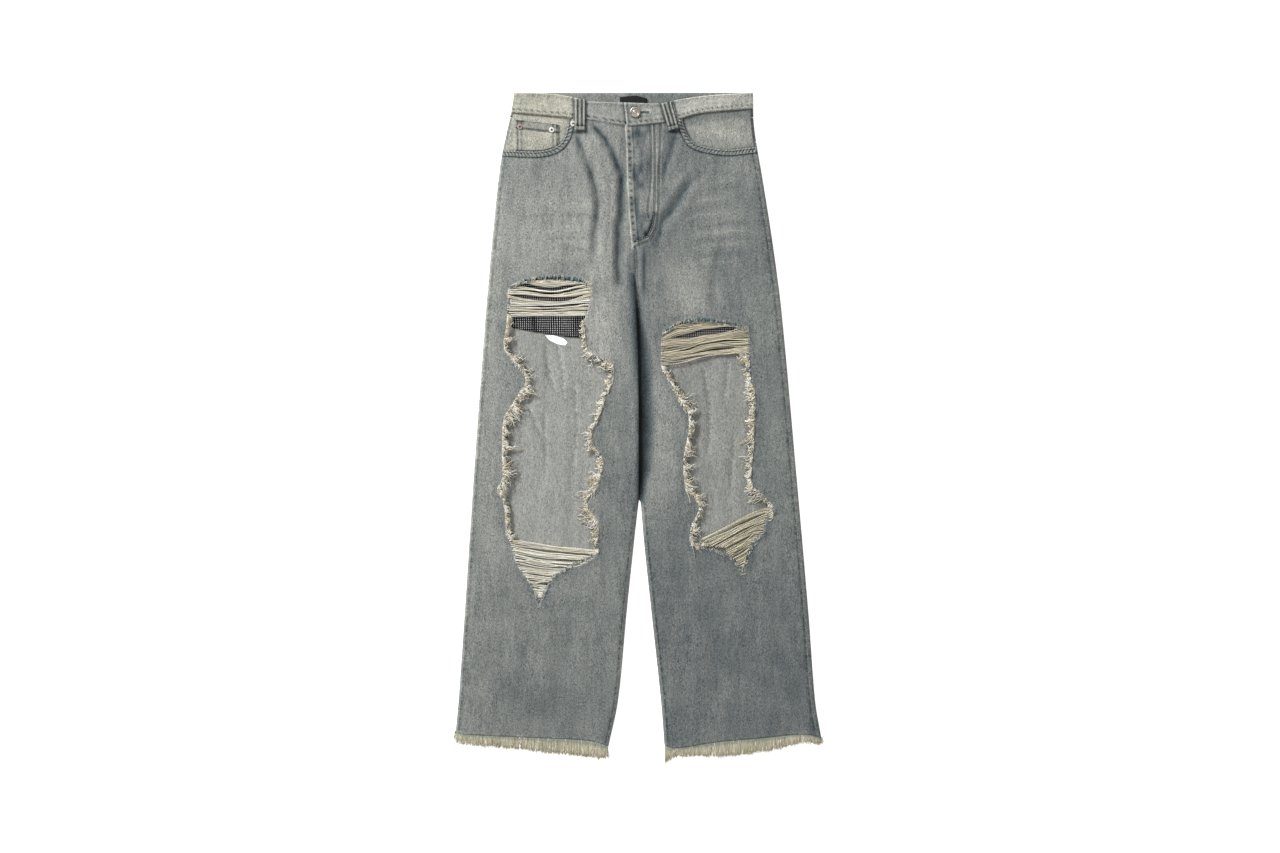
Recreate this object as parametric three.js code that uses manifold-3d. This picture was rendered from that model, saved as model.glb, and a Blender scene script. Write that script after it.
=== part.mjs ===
// Ripped five-pocket jeans, laid flat on their back with the front up, built from their cut pieces.
// Millimetres. X runs from the wearer's right side to the left side, Y from the hems to the waist, Z up.
// The floor is Z = 0: the back pockets, the back belt loops and the back of the legs rest on it.
import * as THREE from 'three';
import { mergeVertices } from 'three/addons/utils/BufferGeometryUtils.js';
import Module from 'manifold-3d';

const wasm = await Module();
wasm.setup();

// ---- driving dimensions ----
const DENIM = 1.2; // leg panels, yokes, patch pockets, loops
const THIN = 1.0; // pocket bags, facings, coin pocket, loose threads, label
const BAND = 3.0; // waistband, two layers of denim and its stiffener
const GAP = 0.3; // between pieces at a seam and between layers that touch
const CENTRE_GAP = 0.8; // half the gap between the two fronts, whose joining line is a curve
const THREAD_GAP = 0.8; // between a torn edge and the threads that bridge it
const PUFF = 5; // how far the front stands off the back inside a leg
const WAIST_EASE = 1.1; // how much flatter the front lies near the waistband
const ROLL = 20; // width over which the front comes down to a side seam
const SEAT_RISE = DENIM + GAP; // the back pockets lift the seat by their own thickness
const FLY_STEP = 1.4; // the left front laps over the right front at the fly
const BUTTON_DIAMETER = 17;
const RIVET_DIAMETER = 9;
const LOOP_WIDTH = 18;
const LEG_COLUMNS = 12; // shared by a leg's two panels and its hem fringes, so that they match at the hem

// ---- helpers: smooth lines, steps and distances ----
const clamp = (value, low, high) => Math.min(high, Math.max(low, value));
const mix = (a, b, t) => a + (b - a) * t;

function smoothStep(from, to, value) {
  const t = clamp((value - from) / (to - from), 0, 1);
  return t * t * (3 - 2 * t);
}

// A smooth line through points [key, value], as the value at any key (a cubic with averaged slopes).
function line(points) {
  const sorted = [...points].sort((a, b) => a[0] - b[0]);
  const slope = sorted.map((point, i) => {
    const before = sorted[Math.max(i - 1, 0)];
    const after = sorted[Math.min(i + 1, sorted.length - 1)];
    return (after[1] - before[1]) / (after[0] - before[0]);
  });
  return (key) => {
    let i = 0;
    while (i < sorted.length - 2 && key > sorted[i + 1][0]) i += 1;
    const [x0, y0] = sorted[i];
    const [x1, y1] = sorted[i + 1];
    const width = x1 - x0;
    const t = clamp((key - x0) / width, 0, 1);
    const rise = y1 - y0;
    const bendIn = slope[i] * width - rise;
    const bendOut = rise - slope[i + 1] * width;
    return y0 + rise * t + t * (1 - t) * (bendIn * (1 - t) + bendOut * t);
  };
}

// Points given as [x, y] pairs: the edge of a piece as x at each y, or as y at each x.
const upright = (points) => line(points.map(([x, y]) => [y, x]));
const across = (points) => line(points);

function distanceToPath(path, x, y) {
  let nearest = Infinity;
  for (let i = 0; i < path.length - 1; i += 1) {
    const [ax, ay] = path[i];
    const [bx, by] = path[i + 1];
    const lengthSquared = (bx - ax) ** 2 + (by - ay) ** 2;
    const t = clamp(((x - ax) * (bx - ax) + (y - ay) * (by - ay)) / lengthSquared, 0, 1);
    nearest = Math.min(nearest, Math.hypot(x - mix(ax, bx, t), y - mix(ay, by, t)));
  }
  return nearest;
}

// ---- outlines of the garment ----
const sideRight = upright([
  [-201, 534], [-206, 502], [-222, 426], [-233, 330], [-246, 186], [-264, -54], [-280, -294], [-290, -438],
  [-295, -490], [-297, -512],
]);
const sideLeft = upright([
  [180.5, 534], [182.5, 478], [196, 395], [211, 300], [226, 186], [248, -54], [269, -294], [280, -438],
  [288.5, -490], [293, -512],
]);
const inseamRight = upright([[-1, -110], [-9, -180], [-21, -294], [-35, -438], [-51, -514]]);
const inseamLeft = upright([[0.5, -110], [6, -180], [18, -294], [33.5, -438], [39, -508]]);
const CROTCH_SPLIT = -119; // below this the two legs lie apart

// The line where the two fronts meet: the fly edge, the centre-front seam, then the fold between the thighs.
const centreFront = upright([
  [-24.8, 518], [-20.5, 478], [-11, 290], [-10, 205], [-8, 150], [-7, 100], [-4, 0], [-3, -60],
  [-3, CROTCH_SPLIT],
]);
const centreBack = upright([[-10, 534], [-9, 400], [-4, 100], [-1, CROTCH_SPLIT]]);

const bandTopRight = across([[-201, 533.6], [-147, 532], [-106, 526], [-86, 520], [-25, 517.6]]);
const bandTopLeft = across([[-25, 517.6], [34, 516.5], [59, 522], [110, 529], [181, 533.6]]);
const bandSeamRight = across([[-207, 501.6], [-109, 492.5], [-86, 490], [-20, 479.2]]);
const bandSeamLeft = across([[-20, 479.2], [40, 485.6], [58, 489.5], [96, 500], [183, 508]]);
const BACK_BAND_TOP = 533.6;
const BACK_BAND_SEAM = 494;
const yokeSeam = across([[-225, 462], [-10, 424], [200, 458]]);

const hemRight = across([[-296, -488], [-280, -492], [-155, -498], [-82, -502], [-58, -508], [-48, -514]]);
const hemLeft = across([
  [36, -508], [53, -514], [77, -512], [117, -505], [194, -498], [262, -492], [293, -499],
]);
const fringeEndRight = across([[-298, -497], [-286, -505], [-192, -514], [-62, -529], [-46, -527]]);
const fringeEndLeft = across([
  [36, -541], [48, -531], [60, -526], [146, -525], [210, -516], [258, -505], [296, -508],
]);

// ---- heights of the layers ----
const seatRise = (x, y) => SEAT_RISE * smoothStep(60, 230, y);
const backTop = (x, y) => seatRise(x, y) + DENIM;

// A quarter-ellipse from a side seam up to the full height.
function rollUp(distance) {
  const t = clamp(distance / ROLL, 0, 1);
  return Math.sqrt(t * (2 - t));
}

// The largest folds, as soft troughs and ridges: negative depth is a trough.
const FOLDS = [
  { depth: -2.8, width: 14, path: [[-104, 470], [-88, 432], [-72, 375], [-64, 335]] },
  { depth: -3.2, width: 13, path: [[-74, 478], [-44, 438], [-29, 398], [-28, 340], [-34, 285]] },
  { depth: 1.8, width: 16, path: [[-84, 470], [-58, 420], [-47, 370], [-46, 320]] },
  { depth: -1.2, width: 14, path: [[-158, 422], [-168, 372]] },
  { depth: -2, width: 14, path: [[56, 455], [44, 420], [42, 385]] },
  { depth: -2.2, width: 15, path: [[86, 400], [62, 358], [36, 318]] },
  { depth: 1.6, width: 26, path: [[-56, 130], [-34, 20], [-30, -90]] },
  { depth: 1.4, width: 24, path: [[96, 260], [80, 215]] },
  { depth: 1.4, width: 24, path: [[-68, 262], [-84, 214]] },
];
function folds(x, y) {
  return FOLDS.reduce((sum, fold) => {
    const away = distanceToPath(fold.path, x, y) / fold.width;
    return sum + fold.depth * Math.exp(-away * away);
  }, 0);
}

// Troughs stay clear of what lies below: a bag down the thigh, and a facing over it behind a pocket mouth.
const roomBelow = (y) => mix(0.6, 1.9, smoothStep(90, 130, y)) + 1.6 * smoothStep(390, 415, y);

// The underside of each front panel: down on the back at the seams, up off it between them.
function frontUnder(side, inseam, lapAtFly, lapAtFold) {
  return (x, y) => {
    const centre = centreFront(clamp(y, CROTCH_SPLIT, 518));
    const fromSide = rollUp(Math.abs(x - side(y)));
    const apart = smoothStep(-60, -160, y);
    const fromInseam = mix(1, rollUp(Math.abs(x - inseam(clamp(y, -514, -110)))), apart);
    const nearCentre = 1 - smoothStep(0, 46, Math.abs(x - centre));
    const lap = nearCentre * mix(lapAtFold, lapAtFly, smoothStep(185, 285, y)) * (1 - apart);
    const puff = PUFF - WAIST_EASE * smoothStep(440, 475, y);
    const rise = Math.max(puff + folds(x, y) + lap, roomBelow(y)) * fromSide * fromInseam;
    return backTop(x, y) + GAP + rise;
  };
}
const frontUnderRight = frontUnder(sideRight, inseamRight, 0, 2.6);
const frontUnderLeft = frontUnder(sideLeft, inseamLeft, FLY_STEP, -2.4);

// The front waistband stands off the back one between the side seams.
function bandUnder(x, y) {
  const fromSides = rollUp(x - sideRight(y)) * rollUp(sideLeft(y) - x);
  return SEAT_RISE + BAND + GAP + 2.2 * Math.max(fromSides, 0);
}
const bandUnderLeft = (x, y) => bandUnder(x, y) + FLY_STEP * (1 - smoothStep(-24, 26, x));

// ---- making solids ----
// Steps from 0 to 1 that are a little closer together at both ends.
function stops(count) {
  return Array.from({ length: count + 1 }, (unused, i) => {
    const even = i / count;
    return mix(even, 0.5 - 0.5 * Math.cos(Math.PI * even), 0.55);
  });
}

const SETTLING_PASSES = 8; // x and y of a point depend on each other, and settle in a few passes

// A cloth wall between four edges: left and right give x at each y, top and bottom give y at each x.
function clothWall({ left, right, top, bottom, columns, rows, under, thick }) {
  const columnStops = stops(columns);
  const middle = (top(0) + bottom(0)) / 2;
  const plan = [];
  for (let row = 0; row <= rows; row += 1) {
    for (const u of columnStops) {
      let x = mix(left(middle), right(middle), u);
      let y = middle;
      for (let pass = 0; pass < SETTLING_PASSES; pass += 1) {
        y = mix(top(x), bottom(x), row / rows);
        x = mix(left(y), right(y), u);
      }
      plan.push([x, y]);
    }
  }
  const positions = [];
  for (const [x, y] of plan) positions.push(x, y, under(x, y));
  for (const [x, y] of plan) positions.push(x, y, under(x, y) + thick);
  const width = columns + 1;
  const upper = plan.length;
  const index = [];
  const quad = (a, b, c, d) => index.push(a, b, c, a, c, d);
  for (let row = 0; row < rows; row += 1) {
    for (let column = 0; column < columns; column += 1) {
      const a = row * width + column;
      const b = a + width;
      quad(upper + a, upper + b, upper + b + 1, upper + a + 1);
      quad(a, a + 1, b + 1, b);
    }
  }
  for (let column = 0; column < columns; column += 1) {
    const last = rows * width + column;
    quad(column, upper + column, upper + column + 1, column + 1);
    quad(last, last + 1, upper + last + 1, upper + last);
  }
  for (let row = 0; row < rows; row += 1) {
    const first = row * width;
    const end = first + columns;
    quad(first, first + width, upper + first + width, upper + first);
    quad(end, upper + end, upper + end + width, end + width);
  }
  const geometry = new THREE.BufferGeometry();
  geometry.setAttribute('position', new THREE.Float32BufferAttribute(positions, 3));
  geometry.setIndex(index);
  return geometry;
}

function toManifold(geometry) {
  const bare = geometry.clone();
  bare.deleteAttribute('normal');
  bare.deleteAttribute('uv');
  const merged = mergeVertices(bare, 1e-4);
  return new wasm.Manifold(new wasm.Mesh({
    numProp: 3,
    vertProperties: new Float32Array(merged.attributes.position.array),
    triVerts: new Uint32Array(merged.index.array),
  }));
}

function fromManifold(solid) {
  const mesh = solid.getMesh();
  const geometry = new THREE.BufferGeometry();
  geometry.setAttribute('position', new THREE.Float32BufferAttribute(mesh.vertProperties, 3));
  geometry.setIndex(Array.from(mesh.triVerts));
  return geometry;
}

// An upright prism over an outline, tall enough to cut through every layer.
function cutter(outline) {
  const shape = new THREE.Shape(outline.map(([x, y]) => new THREE.Vector2(x, y)));
  const prism = new THREE.ExtrudeGeometry(shape, { depth: 60, bevelEnabled: false, curveSegments: 1 });
  prism.translate(0, 0, -20);
  return toManifold(prism);
}

function cut(geometry, outlines) {
  let solid = toManifold(geometry);
  for (const outline of outlines) solid = solid.subtract(cutter(outline));
  return fromManifold(solid.simplify(0.01));
}

// ---- materials ----
const finish = (color, roughness, metalness = 0) => ({ color, roughness, metalness });
const WASHED_DENIM = finish('#8c9290', 0.92);
const TINTED_DENIM = finish('#a3a492', 0.92);
const REVERSE_DENIM = finish('#94958f', 0.95);
const THREAD = finish('#c9bda0', 0.95);
const POCKETING = finish('#2b2a30', 0.9);
const LABEL_CLOTH = finish('#18181a', 0.8);
const METAL = finish('#b5aca0', 0.4, 0.9);

const jeans = new THREE.Group();
function add(name, geometry, look) {
  geometry.computeVertexNormals();
  const mesh = new THREE.Mesh(geometry, new THREE.MeshStandardMaterial(look));
  mesh.name = name;
  jeans.add(mesh);
}

// ---- the torn openings ----
// Each is the torn edge of the denim, as x at each y on either side, from its top to its tip.
const tearRight = {
  top: 239,
  tip: -290,
  left: upright([
    [-150, 239], [-186, 233], [-206, 222], [-210, 180], [-214, 126], [-193, 98], [-182, 74], [-200, 38],
    [-217, 8], [-218, -70], [-224, -98], [-214, -130], [-211, -172], [-201, -205], [-181, -240],
    [-163, -278], [-161, -290],
  ]),
  right: upright([
    [-118, 239], [-90, 233], [-78, 222], [-88, 180], [-88, 126], [-62, 106], [-44, 92], [-54, 54], [-76, 4],
    [-76, -26], [-60, -50], [-68, -96], [-84, -122], [-67, -158], [-70, -198], [-92, -219], [-130, -232],
    [-152, -262], [-158, -290],
  ]),
};
const tearLeft = {
  top: 172,
  tip: -236,
  left: upright([
    [86, 172], [60, 165], [40, 152], [36, 120], [36, 96], [58, 60], [78, 26], [80, -10], [72, -50], [73, -98],
    [94, -124], [83, -156], [82, -190], [120, -199], [148, -212], [161, -236],
  ]),
  right: upright([
    [104, 172], [150, 164], [171, 156], [173, 96], [182, 50], [180, -20], [175, -84], [190, -106],
    [213, -134], [199, -150], [194, -172], [172, -195], [165, -236],
  ]),
};
const TEAR_STEP = 13;

function tearOutline(tear, moveX = 0, moveY = 0) {
  const count = Math.round((tear.top - tear.tip) / TEAR_STEP);
  const heights = Array.from({ length: count + 1 }, (unused, i) => mix(tear.top, tear.tip, i / count));
  const down = heights.map((y) => [tear.left(y) + moveX, y + moveY]);
  const up = heights.map((y) => [tear.right(y) + moveX, y + moveY]).reverse();
  return [...down, ...up];
}

// What lies inside a tear, clear of its edge all round: four moved copies of its outline, where they meet.
function keepInside(geometry, tear) {
  let solid = toManifold(geometry);
  for (const [moveX, moveY] of [[1, 0], [-1, 0], [0, 1], [0, -1]]) {
    solid = solid.intersect(cutter(tearOutline(tear, moveX * THREAD_GAP, moveY * THREAD_GAP)));
  }
  return fromManifold(solid.simplify(0.01));
}

// ---- front pocket mouths: each cuts the upper outer corner off its front panel ----
const mouthRight = [
  [-113, 520], [-114, 490], [-118, 466], [-126, 452], [-140, 443], [-160, 439], [-185, 439], [-250, 443],
  [-250, 520],
];
const mouthLeft = [
  [64, 520], [68, 488], [76, 467], [83, 454], [104, 446], [140, 441], [165, 444], [230, 452], [230, 520],
];

// ---- legs ----
const joinedRight = (y) => (y > CROTCH_SPLIT ? centreFront(y) - CENTRE_GAP : inseamRight(y));
const joinedLeft = (y) => (y > CROTCH_SPLIT ? centreFront(y) + CENTRE_GAP : inseamLeft(y));
const backJoinedRight = (y) => (y > CROTCH_SPLIT ? centreBack(y) - GAP : inseamRight(y));
const backJoinedLeft = (y) => (y > CROTCH_SPLIT ? centreBack(y) + GAP : inseamLeft(y));
const below = (edge, gap = GAP) => (x) => edge(x) - gap;

add('front_right_leg', cut(clothWall({
  left: sideRight, right: joinedRight, top: below(bandSeamRight), bottom: hemRight,
  columns: LEG_COLUMNS, rows: 38, under: frontUnderRight, thick: DENIM,
}), [mouthRight, tearOutline(tearRight)]), WASHED_DENIM);

add('front_left_leg', cut(clothWall({
  left: joinedLeft, right: sideLeft, top: below(bandSeamLeft), bottom: hemLeft,
  columns: LEG_COLUMNS, rows: 38, under: frontUnderLeft, thick: DENIM,
}), [mouthLeft, tearOutline(tearLeft)]), WASHED_DENIM);

// A small torn slit in the back of the right leg shows what lies under the jeans.
const BACK_SLIT = [[-152, 146], [-145, 138], [-132, 132], [-120, 130], [-116, 134], [-122, 141], [-138, 146]];

add('back_right_leg', cut(clothWall({
  left: sideRight, right: backJoinedRight, top: below(yokeSeam), bottom: hemRight,
  columns: LEG_COLUMNS, rows: 16, under: seatRise, thick: DENIM,
}), [BACK_SLIT]), REVERSE_DENIM);

add('back_left_leg', clothWall({
  left: backJoinedLeft, right: sideLeft, top: below(yokeSeam), bottom: hemLeft,
  columns: LEG_COLUMNS, rows: 16, under: seatRise, thick: DENIM,
}), REVERSE_DENIM);

// ---- back yokes and patch pockets ----
const backBandSeam = () => BACK_BAND_SEAM;
add('back_right_yoke', clothWall({
  left: sideRight, right: (y) => centreBack(y) - GAP, top: below(backBandSeam), bottom: yokeSeam, columns: 5,
  rows: 2, under: () => SEAT_RISE, thick: DENIM,
}), WASHED_DENIM);
add('back_left_yoke', clothWall({
  left: (y) => centreBack(y) + GAP, right: sideLeft, top: below(backBandSeam), bottom: yokeSeam, columns: 5,
  rows: 2, under: () => SEAT_RISE, thick: DENIM,
}), WASHED_DENIM);

function patchPocket(centreX) {
  const halfTop = 76;
  const halfFoot = 66;
  const outline = [
    [centreX - halfTop, 414], [centreX - halfFoot, 268], [centreX, 244], [centreX + halfFoot, 268],
    [centreX + halfTop, 414],
  ];
  const shape = new THREE.Shape(outline.map(([x, y]) => new THREE.Vector2(x, y)));
  return fromManifold(toManifold(new THREE.ExtrudeGeometry(shape, { depth: DENIM, bevelEnabled: false })));
}
add('back_right_pocket', patchPocket(-118), WASHED_DENIM);
add('back_left_pocket', patchPocket(98), WASHED_DENIM);

// ---- waistband ----
const backBandTop = () => BACK_BAND_TOP;
add('waistband_back', clothWall({
  left: sideRight, right: sideLeft, top: backBandTop, bottom: backBandSeam, columns: 8, rows: 2,
  under: () => SEAT_RISE, thick: BAND,
}), WASHED_DENIM);
add('waistband_front_right', clothWall({
  left: sideRight, right: (y) => centreFront(y) - CENTRE_GAP, top: bandTopRight, bottom: bandSeamRight,
  columns: 12, rows: 3, under: bandUnder, thick: BAND,
}), TINTED_DENIM);
add('waistband_front_left', clothWall({
  left: (y) => centreFront(y) + CENTRE_GAP, right: sideLeft, top: bandTopLeft, bottom: bandSeamLeft,
  columns: 12, rows: 3, under: bandUnderLeft, thick: BAND,
}), TINTED_DENIM);

// ---- front pockets: bag, facing and coin pocket, each one layer above the last ----
const bagUnder = (x, y) => backTop(x, y) + GAP;
// The facings climb over the back waistband to reach the seam of the front one.
const facingUnder = (x, y) => bagUnder(x, y) + THIN + GAP + 0.8 * smoothStep(455, 485, y);
const coinUnder = (x, y) => facingUnder(x, y) + THIN + GAP;
const SEAM_ALLOWANCE = 8;

add('pocket_bag_right', clothWall({
  left: (y) => sideRight(y) + SEAM_ALLOWANCE, right: upright([[-62, 485], [-58, 300], [-70, 150]]),
  top: () => 478, bottom: across([[-240, 162], [-203, 157], [-100, 142], [-60, 148]]), columns: 5, rows: 12,
  under: bagUnder, thick: THIN,
}), POCKETING);
add('pocket_bag_left', clothWall({
  left: upright([[38, 485], [34, 300], [44, 130]]), right: (y) => sideLeft(y) - SEAM_ALLOWANCE,
  top: () => 478, bottom: across([[40, 124], [120, 118], [225, 128]]), columns: 5, rows: 12, under: bagUnder,
  thick: THIN,
}), POCKETING);

add('pocket_facing_right', clothWall({
  left: (y) => sideRight(y) + SEAM_ALLOWANCE, right: () => -104,
  top: (x) => bandSeamRight(x) - SEAM_ALLOWANCE / 4, bottom: () => 426, columns: 5, rows: 3,
  under: facingUnder, thick: THIN,
}), TINTED_DENIM);
add('pocket_facing_left', clothWall({
  left: () => 58, right: (y) => sideLeft(y) - SEAM_ALLOWANCE,
  top: (x) => bandSeamLeft(x) - SEAM_ALLOWANCE / 4, bottom: () => 430, columns: 5, rows: 3,
  under: facingUnder, thick: THIN,
}), TINTED_DENIM);
add('coin_pocket', clothWall({
  left: () => -199, right: () => -129, top: across([[-199, 490], [-129, 482]]),
  bottom: across([[-199, 441], [-160, 441], [-140, 445], [-129, 451]]), columns: 5, rows: 2, under: coinUnder,
  thick: THIN,
}), TINTED_DENIM);

// ---- belt loops ----
const bandTopFace = (x, y) => bandUnder(x, y) + BAND + GAP;
const bandTopFaceLeft = (x, y) => bandUnderLeft(x, y) + BAND + GAP;
function beltLoop(leanTop, leanFoot, topY, footY, under) {
  const middle = upright([[leanTop, topY], [leanFoot, footY]]);
  return clothWall({
    left: (y) => middle(y) - LOOP_WIDTH / 2, right: (y) => middle(y) + LOOP_WIDTH / 2, top: () => topY,
    bottom: () => footY, columns: 2, rows: 3, under, thick: DENIM * 1.6,
  });
}
add('belt_loop_front_right', beltLoop(-96, -96, 522, 473, bandTopFace), TINTED_DENIM);
add('belt_loop_front_left', beltLoop(43, 54, 516, 474, bandTopFaceLeft), TINTED_DENIM);
for (const [name, x] of [['right', -135], ['centre', -10], ['left', 115]]) {
  const loop = new THREE.BoxGeometry(LOOP_WIDTH, 52, DENIM);
  loop.translate(x, 507, DENIM / 2);
  add(`belt_loop_back_${name}`, fromManifold(toManifold(loop)), WASHED_DENIM);
}

// ---- button, rivets and the bare inside label ----
// A turned metal disc with a low dome, standing at a height over a point of the cloth.
function stud(diameter, height, x, y, z) {
  const radius = diameter / 2;
  const profile = [
    [0, 0], [radius * 0.92, 0], [radius, height * 0.3], [radius * 0.94, height * 0.7],
    [radius * 0.7, height * 0.95], [0, height],
  ].map(([r, h]) => new THREE.Vector2(r, h));
  const geometry = new THREE.LatheGeometry(profile, 16);
  geometry.rotateX(Math.PI / 2);
  geometry.translate(x, y, z);
  return fromManifold(toManifold(geometry));
}
add('waist_button', stud(BUTTON_DIAMETER, 3.2, -8, 501.6, bandTopFaceLeft(-8, 501.6) + GAP), METAL);
const RIVETS = [
  [-107, 484, frontUnderRight(-107, 484) + DENIM], [-141, 474, coinUnder(-141, 474) + THIN],
  [-192, 479, coinUnder(-192, 479) + THIN],
];
RIVETS.forEach(([x, y, z], i) => {
  add(`pocket_rivet_${i + 1}`, stud(RIVET_DIAMETER, 1.6, x, y, z + 2 * GAP), METAL);
});
add('inside_label', clothWall({
  left: () => -32, right: () => 11.5, top: across([[-32, 526.5], [-6, 528], [11.5, 521]]), bottom: () => 500,
  columns: 3, rows: 1, under: () => SEAT_RISE + BAND + GAP, thick: THIN,
}), LABEL_CLOTH);

// ---- loose threads: bands that bridge the tears, fringes along their sides, fringes at the hems ----
const widest = { right: [-235, -35], left: [25, 225] };
function threadBand(tear, [from, to], top, bottom, under, rows) {
  return keepInside(clothWall({
    left: () => from, right: () => to, top, bottom, columns: 8, rows, under: (x, y) => under(x, y) + 0.1,
    thick: THIN,
  }), tear);
}
add('tear_threads_top_right', threadBand(
  tearRight, widest.right, () => 236, across([[-210, 180], [-150, 178], [-86, 179]]), frontUnderRight, 3,
), THREAD);
add('tear_threads_foot_right', threadBand(
  tearRight, widest.right, across([[-206, -183], [-140, -191], [-72, -199]]), () => -287, frontUnderRight, 5,
), THREAD);
add('tear_threads_top_left', threadBand(
  tearLeft, widest.left, () => 170, across([[36, 97], [84, 106], [120, 115], [173, 117]]), frontUnderLeft, 4,
), THREAD);
add('tear_threads_foot_left', threadBand(
  tearLeft, widest.left, across([[82, -186], [140, -158], [200, -130]]), () => -233, frontUnderLeft, 5,
), THREAD);

const FRINGE_REACH = 10;
function sideFringe(tear, fromY, toY, isLeft, under) {
  const edge = isLeft ? tear.left : tear.right;
  const reach = isLeft ? FRINGE_REACH : -FRINGE_REACH;
  const near = (y) => Math.min(edge(y) - reach, edge(y) + reach);
  return keepInside(clothWall({
    left: near, right: (y) => near(y) + 2 * FRINGE_REACH, top: () => fromY, bottom: () => toY, columns: 2,
    rows: Math.round((fromY - toY) / TEAR_STEP), under: (x, y) => under(x, y) + 0.1, thick: THIN,
  }), tear);
}
add('tear_fringe_outer_right', sideFringe(tearRight, 176, -180, true, frontUnderRight), THREAD);
add('tear_fringe_inner_right', sideFringe(tearRight, 175, -190, false, frontUnderRight), THREAD);
add('tear_fringe_inner_left', sideFringe(tearLeft, 92, -174, true, frontUnderLeft), THREAD);
add('tear_fringe_outer_left', sideFringe(tearLeft, 112, -122, false, frontUnderLeft), THREAD);

function hemFringe(left, right, hem, end, under) {
  return clothWall({
    left, right, top: below(hem, THREAD_GAP), bottom: end, columns: LEG_COLUMNS, rows: 1, under, thick: THIN,
  });
}
const onFloor = () => 0;
const HEM_FACES = [['front', frontUnderRight, frontUnderLeft], ['back', onFloor, onFloor]];
for (const [face, underRight, underLeft] of HEM_FACES) {
  const right = hemFringe(sideRight, inseamRight, hemRight, fringeEndRight, underRight);
  const left = hemFringe(inseamLeft, sideLeft, hemLeft, fringeEndLeft, underLeft);
  add(`hem_fringe_${face}_right`, right, THREAD);
  add(`hem_fringe_${face}_left`, left, THREAD);
}

// ---- the origin is the middle of the underside ----
const box = new THREE.Box3().setFromObject(jeans);
jeans.position.set(-(box.min.x + box.max.x) / 2, -(box.min.y + box.max.y) / 2, -box.min.z);

export default jeans;
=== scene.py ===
"""Ripped five-pocket jeans, laid flat on their back: cloth, threads, stitching, metal, light and camera.

Lengths are in millimetres on the cutting plan until a piece is made, and in metres in the frame after that.
On the plan x runs from the wearer's right to left, y up to the waist and z up off the floor.
"""

import math

import bpy
import numpy as np
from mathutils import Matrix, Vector, kdtree
from mathutils.geometry import delaunay_2d_cdt


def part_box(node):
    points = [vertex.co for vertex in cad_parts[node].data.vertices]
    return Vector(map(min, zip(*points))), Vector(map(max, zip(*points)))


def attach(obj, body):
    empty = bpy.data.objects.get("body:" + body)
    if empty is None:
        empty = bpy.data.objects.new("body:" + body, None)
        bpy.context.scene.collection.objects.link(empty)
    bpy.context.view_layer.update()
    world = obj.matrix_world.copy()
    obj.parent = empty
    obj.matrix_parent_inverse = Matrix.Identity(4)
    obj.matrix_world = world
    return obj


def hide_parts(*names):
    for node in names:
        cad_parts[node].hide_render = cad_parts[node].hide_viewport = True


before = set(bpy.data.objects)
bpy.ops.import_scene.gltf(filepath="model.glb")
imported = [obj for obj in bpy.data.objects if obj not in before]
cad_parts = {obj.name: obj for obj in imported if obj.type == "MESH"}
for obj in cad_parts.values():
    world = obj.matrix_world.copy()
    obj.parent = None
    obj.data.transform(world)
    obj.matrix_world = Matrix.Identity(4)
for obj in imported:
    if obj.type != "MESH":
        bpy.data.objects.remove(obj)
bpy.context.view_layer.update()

# The waist button's place on the plan ties the plan to the frame.
button_low, button_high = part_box("waist_button")
BUTTON = (-8.0, 501.6)
SHIFT_X = (button_low.x + button_high.x) * 500 - BUTTON[0]
SHIFT_Y = (button_low.y + button_high.y) * 500 - BUTTON[1]

# Thickness of the denim, of the thin cloths and of the waistband, and the gap between layers that touch.
DENIM = 1.2
THIN = 1.0
BAND = 3.0
GAP = 0.3
# How far the front stands off the back, how much less at the waist, and how wide it comes down to a side seam.
PUFF = 5.0
WAIST_EASE = 1.1
ROLL = 20.0
# How high the seat lies on its pockets and loops, and how high the fly laps over the right front.
SEAT_RISE = DENIM + GAP
FLY_STEP = 1.4
# Heights on the plan.
CROTCH = -119.0
BACK_BAND_TOP = 533.6
BACK_BAND_SEAM = 494.0


# ---------------------------------------------------------------- lines and distances
def smooth_step(start, end, value):
    t = np.clip((np.asarray(value, float) - start) / (end - start), 0, 1)
    return t * t * (3 - 2 * t)


def bell(distance, width):
    """1 on a line, and fading away to both sides of it."""
    return np.exp(-((distance / width) ** 2))


def mix(a, b, t):
    return a + (b - a) * t


def steady(value):
    """An edge or a width that is the same all along."""
    return lambda key: np.full(np.shape(key), float(value))


def line(points):
    """A smooth line through (key, value) points, as the value at any key."""
    keys, values = np.array(sorted(points), float).T
    slopes = np.gradient(values)
    slopes[0] = (values[1] - values[0]) / (keys[1] - keys[0])
    slopes[-1] = (values[-1] - values[-2]) / (keys[-1] - keys[-2])
    slopes[1:-1] = (values[2:] - values[:-2]) / (keys[2:] - keys[:-2])

    def at(key):
        key = np.clip(np.asarray(key, float), keys[0], keys[-1])
        i = np.clip(np.searchsorted(keys, key, side="right") - 1, 0, len(keys) - 2)
        width = keys[i + 1] - keys[i]
        t = (key - keys[i]) / width
        rise = values[i + 1] - values[i]
        bend_in = slopes[i] * width - rise
        bend_out = rise - slopes[i + 1] * width
        return values[i] + rise * t + t * (1 - t) * (bend_in * (1 - t) + bend_out * t)

    return at


def upright(points):
    """x at each y."""
    return line([(y, x) for x, y in points])


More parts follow.
